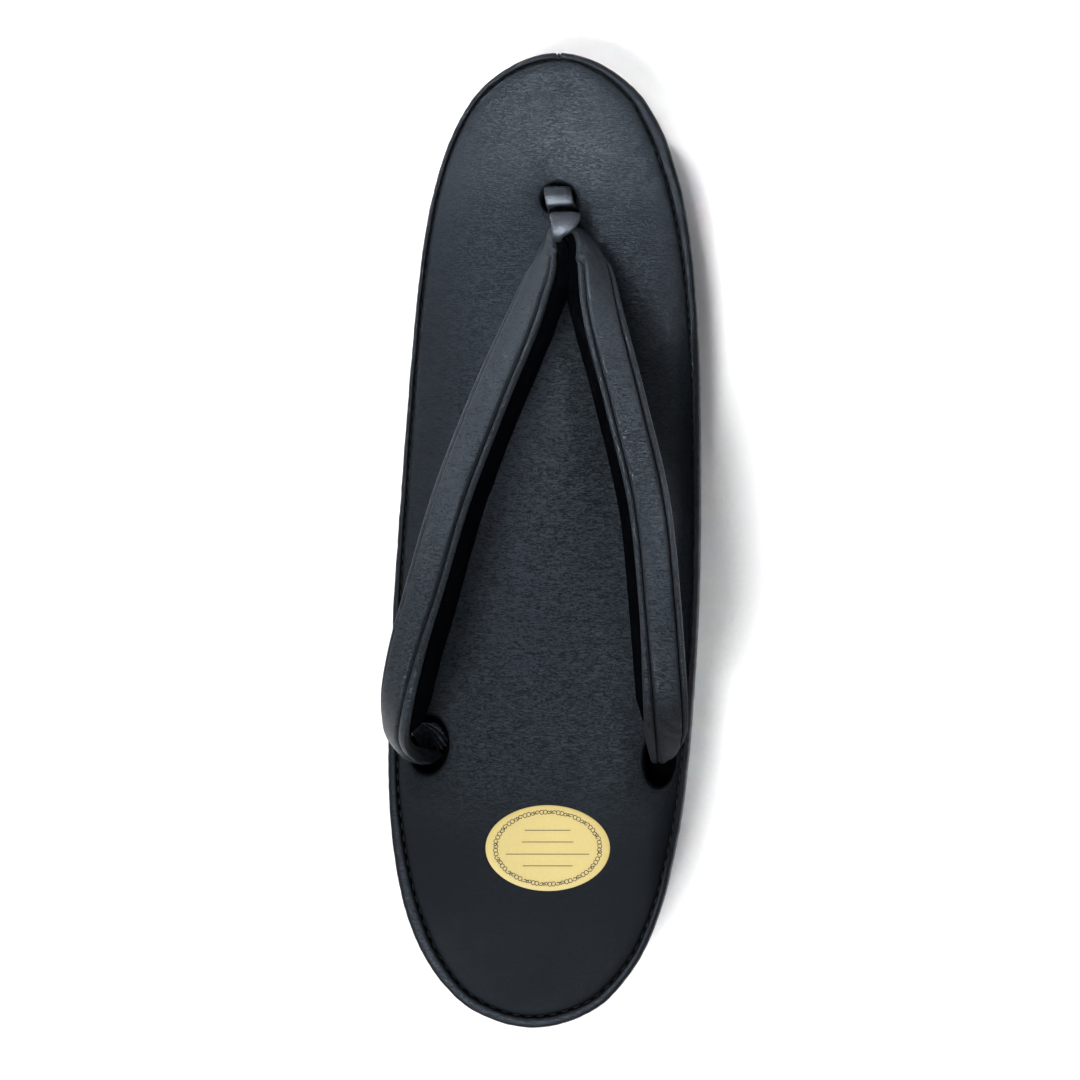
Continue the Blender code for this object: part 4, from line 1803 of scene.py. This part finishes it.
@dataclass
class PaperLabel:
    """The oval paper label stuck on the heel, with a printed chain border and ruled lines, no words."""

    insole: Insole
    paper: Paper = Paper()
    ink: Plain = Plain("brown printing ink", "#241b09", "#342910", 0.6)
    station: float = -77.9
    side: float = 3.0
    half_width: float = 15.65
    half_length: float = 10.6
    thickness: float = 0.12
    turn: float = 2.3
    border: float = 0.84
    links: int = 16
    ring: float = 0.52
    stroke: float = 0.2
    # A link of the chain: where its rings lie along it, and each curl's start, end and swing.
    ring_places: tuple[float, ...] = (0.13, 0.35)
    curls: tuple[tuple[float, ...], ...] = ((0.43, 1.05, 0.05), (0.56, 0.86, -0.04), (0.70, 1.0, -0.03))
    # Ruled lines: how far up from the middle, and how long.
    rules: tuple[tuple[float, float], ...] = ((4.4, 11.5), (1.5, 13.0), (-1.5, 21.0), (-4.4, 12.5))

    def stuck(self, bm: BMesh) -> None:
        """Turns a flat mesh to the label's angle and lays it down on the insole, its heights kept."""
        place = Matrix.Translation((self.side * MM, self.station * MM, 0.0))
        turn = Matrix.Rotation(math.radians(self.turn), 4, "Z")
        bmesh.ops.transform(bm, matrix=place @ turn, verts=bm.verts)
        verts = list(bm.verts)
        for vert, height in zip(verts, self.insole.top(np.array([v.co.xy for v in verts]) / MM)):
            vert.co.z += height * MM

    def build(self) -> list[Object]:
        """Builds the paper and its printing."""
        edge = ((1.0, 0.0), (1.0, self.thickness * 0.6), (0.992, self.thickness))
        face = [(share, self.thickness) for share in (0.9, 0.75, 0.6, 0.45, 0.3, 0.15, 0.0)]
        rings = []
        for share, lift in (*edge, *face):
            rings.append(oval((0.0, 0.0, lift), self.half_width * share, self.half_length * share, 96))
        bm = laid(rings)
        close_ends(bm)
        self.stuck(bm)
        paper = piece("paper_label", bm, self.paper.material())
        return [paper, self.printing()]

    def printing(self) -> Object:
        """Prints the chain border, two rings and a curl to a link, and the ruled lines."""
        bm = bmesh.new()
        whole = 2 * math.pi / self.links
        for link in range(self.links):
            start = 2 * math.pi * link / self.links
            for share in self.ring_places:
                self.stroke_along(bm, self.loop(start + whole * share))
            for first, last, swing in self.curls:
                self.stroke_along(bm, self.curl(start + whole * first, start + whole * last, swing))
        for up, length in self.rules:
            self.stroke_along(bm, [(length * (i / 12 - 0.5), up) for i in range(13)])
        self.stuck(bm)
        return piece("label_printing", bm, self.ink.material())

    def on_border(self, turn: float, reach: float) -> tuple[float, float]:
        """A point near the label's edge, at an angle shifted so that equal steps of it are equal on the oval.

        Args:
            turn: the angle.
            reach: how far out the point lies, as a share of the label.

        Returns:
            The point, in millimetres from the label's middle.
        """
        flatness = (self.half_width - self.half_length) / (self.half_width + self.half_length)
        turn += flatness / 2 * math.sin(2 * turn)
        return self.half_width * reach * math.cos(turn), self.half_length * reach * math.sin(turn)

    def loop(self, turn: float) -> list[tuple[float, float]]:
        """A small printed ring on the border."""
        x, y = self.on_border(turn, self.border)
        turns = [2 * math.pi * i / 12 for i in range(13)]
        return [(x + self.ring * math.cos(t), y + self.ring * math.sin(t)) for t in turns]

    def curl(self, start: float, end: float, swing: float) -> list[tuple[float, float]]:
        """A small printed wave along the border from one angle to another.

        Args:
            start: the angle where it starts.
            end: the angle where it ends.
            swing: its height, as a share of the label; a negative one starts inwards.

        Returns:
            The wave's points.
        """
        shares = [i / 10 for i in range(11)]
        reaches = [self.border * (1 + swing * math.sin(2 * math.pi * share)) for share in shares]
        return [self.on_border(start + (end - start) * s, reach) for s, reach in zip(shares, reaches)]

    def stroke_along(self, bm: BMesh, path: Sequence[tuple[float, float]]) -> None:
        """Adds one flat printed stroke along a path on the label.

        Args:
            bm: the printing's mesh.
            path: the path's points from the label's middle, in millimetres.
        """
        low, high = self.thickness - 0.02, self.thickness + 0.03
        rings = []
        for (x, y), along in zip(path, directions([Vector(point) for point in path])):
            dx, dy = -along.y * self.stroke / 2, along.x * self.stroke / 2
            corners = ((1, low), (1, high), (-1, high), (-1, low))
            rings.append([Vector((x + side * dx, y + side * dy, height)) for side, height in corners])
        part = laid(rings)
        close_ends(part)
        add_part(bm, part)


# ---------------------------------------------------------------- the studio


class Softbox(NamedTuple):
    """A white area light: its place, aim and side in metres, its power in watts, and the fan of its grid."""

    name: str
    place: tuple[float, float, float]
    aim: tuple[float, float, float]
    side: float
    power: float
    fan: float = 180.0


@dataclass
class Studio:
    """A pale floor, soft lights and the camera that looks down on the sandal."""

    floor: Plain = Plain("pale floor paint", "#f6f6f6", "#f8f8f8", 0.9, 3.0)
    floor_size: float = 6.0
    camera_place: tuple[float, float, float] = (49.83, 0.92, 590.0)
    camera_aim: tuple[float, float, float] = (-2.0, -0.8, 30.0)
    camera_roll: float = 1.6
    camera_field: float = 27.55
    sky: str = "#fbfcff"
    # The room's strength by the way one looks, from its middle to its right side and up its walls.
    dark_side: Fade = Fade(0.0, 0.6, 0.74, 0.03)
    dim_walls: Fade = Fade(0.1, 0.55, 0.35, 1.0)
    softboxes: tuple[Softbox, ...] = (
        Softbox("key from lower left", (-0.21, -0.42, 1.2), (0.0, 0.0, 0.0), 0.29, 16.0),
        Softbox("toe softbox", (-0.45, 0.85, 0.75), (0.0, 0.05, 0.0), 0.6, 0.9),
        Softbox("middle softbox", (-0.2, 0.42, 1.05), (0.0, 0.0, 0.0), 0.25, 0.9),
        Softbox("toe spot", (-0.1, 0.05, 1.0), (0.006, 0.097, 0.03), 0.08, 0.0095, 5.6),
        Softbox("left strap spot", (-0.53, 0.57, 0.575), (-0.008, 0.070, 0.04), 0.10, 0.056, 9.2),
        Softbox("right strap spot", (0.137, 0.568, 0.752), (0.022, -0.01, 0.05), 0.09, 0.0125, 7.0),
    )

    def build(self) -> None:
        """Sets up floor, world, lights and camera."""
        bm = bmesh.new()
        bmesh.ops.create_grid(bm, x_segments=1, y_segments=1, size=self.floor_size / 2)
        mesh = mesh_of("floor", bm)
        mesh.materials.append(self.floor.material())
        placed("floor", mesh)
        self.light()
        self.look()

    def light(self) -> None:
        """Makes the world and the softboxes."""
        world = bpy.data.worlds.new("studio air")
        world.use_nodes = True
        tree = world.node_tree
        background = tree.nodes["Background"].inputs
        background["Color"].default_value = linear(self.sky)
        way = add_node(tree, "TexCoord").outputs["Generated"]
        parts = add_node(tree, "SeparateXYZ", links={0: way}).outputs
        glow = faded(tree, [(parts["X"], self.dark_side), (parts["Z"], self.dim_walls)])
        tree.links.new(glow, background["Strength"])
        bpy.context.scene.world = world
        for box in self.softboxes:
            lamp = bpy.data.lights.new(box.name, "AREA")
            lamp.size = box.side
            lamp.energy = box.power
            lamp.spread = math.radians(box.fan)
            obj = placed(box.name, lamp)
            obj.location = box.place
            obj.rotation_euler = (Vector(box.aim) - Vector(box.place)).to_track_quat("-Z", "Y").to_euler()

    def look(self) -> None:
        """Makes the camera."""
        lens = bpy.data.cameras.new("camera")
        lens.angle = math.radians(self.camera_field)
        camera = placed("camera", lens)
        place, aim = Vector(self.camera_place) * MM, Vector(self.camera_aim) * MM
        back = (place - aim).normalized()
        roll = math.radians(self.camera_roll)
        up = Vector((-math.sin(roll), math.cos(roll), 0.0))
        right = up.cross(back).normalized()
        up = back.cross(right)
        camera.matrix_world = Matrix.Translation(place) @ Matrix((right, up, back)).transposed().to_4x4()
        lens.clip_start, lens.clip_end = 0.01, 50.0
        bpy.context.scene.camera = camera
        bpy.context.scene.view_settings.view_transform = "Standard"


def main() -> None:
    """Builds the sandal's pieces from the floor up, then the studio."""
    logging.basicConfig(level=logging.INFO, format="%(message)s")
    last = Last()
    rim = TopRim(last)
    insole = Insole(last, rim)
    for part in (
        Outsole(last),
        Base(last),
        rim,
        insole,
        # black cups in the holes, as painted shade
        HoleShadeCups(insole, Velvet("dull cloth in the holes")),
        Thong(last),
        GatheredTail(last),
        ToeLoop(last),
        RimStitches(insole),
        PaperLabel(insole),
    ):
        made = part.build()
        LOG.info("%s built as %s", type(part).__name__, getattr(made, "name", "several pieces"))
    Studio().build()


if __name__ == "__main__":
    main()
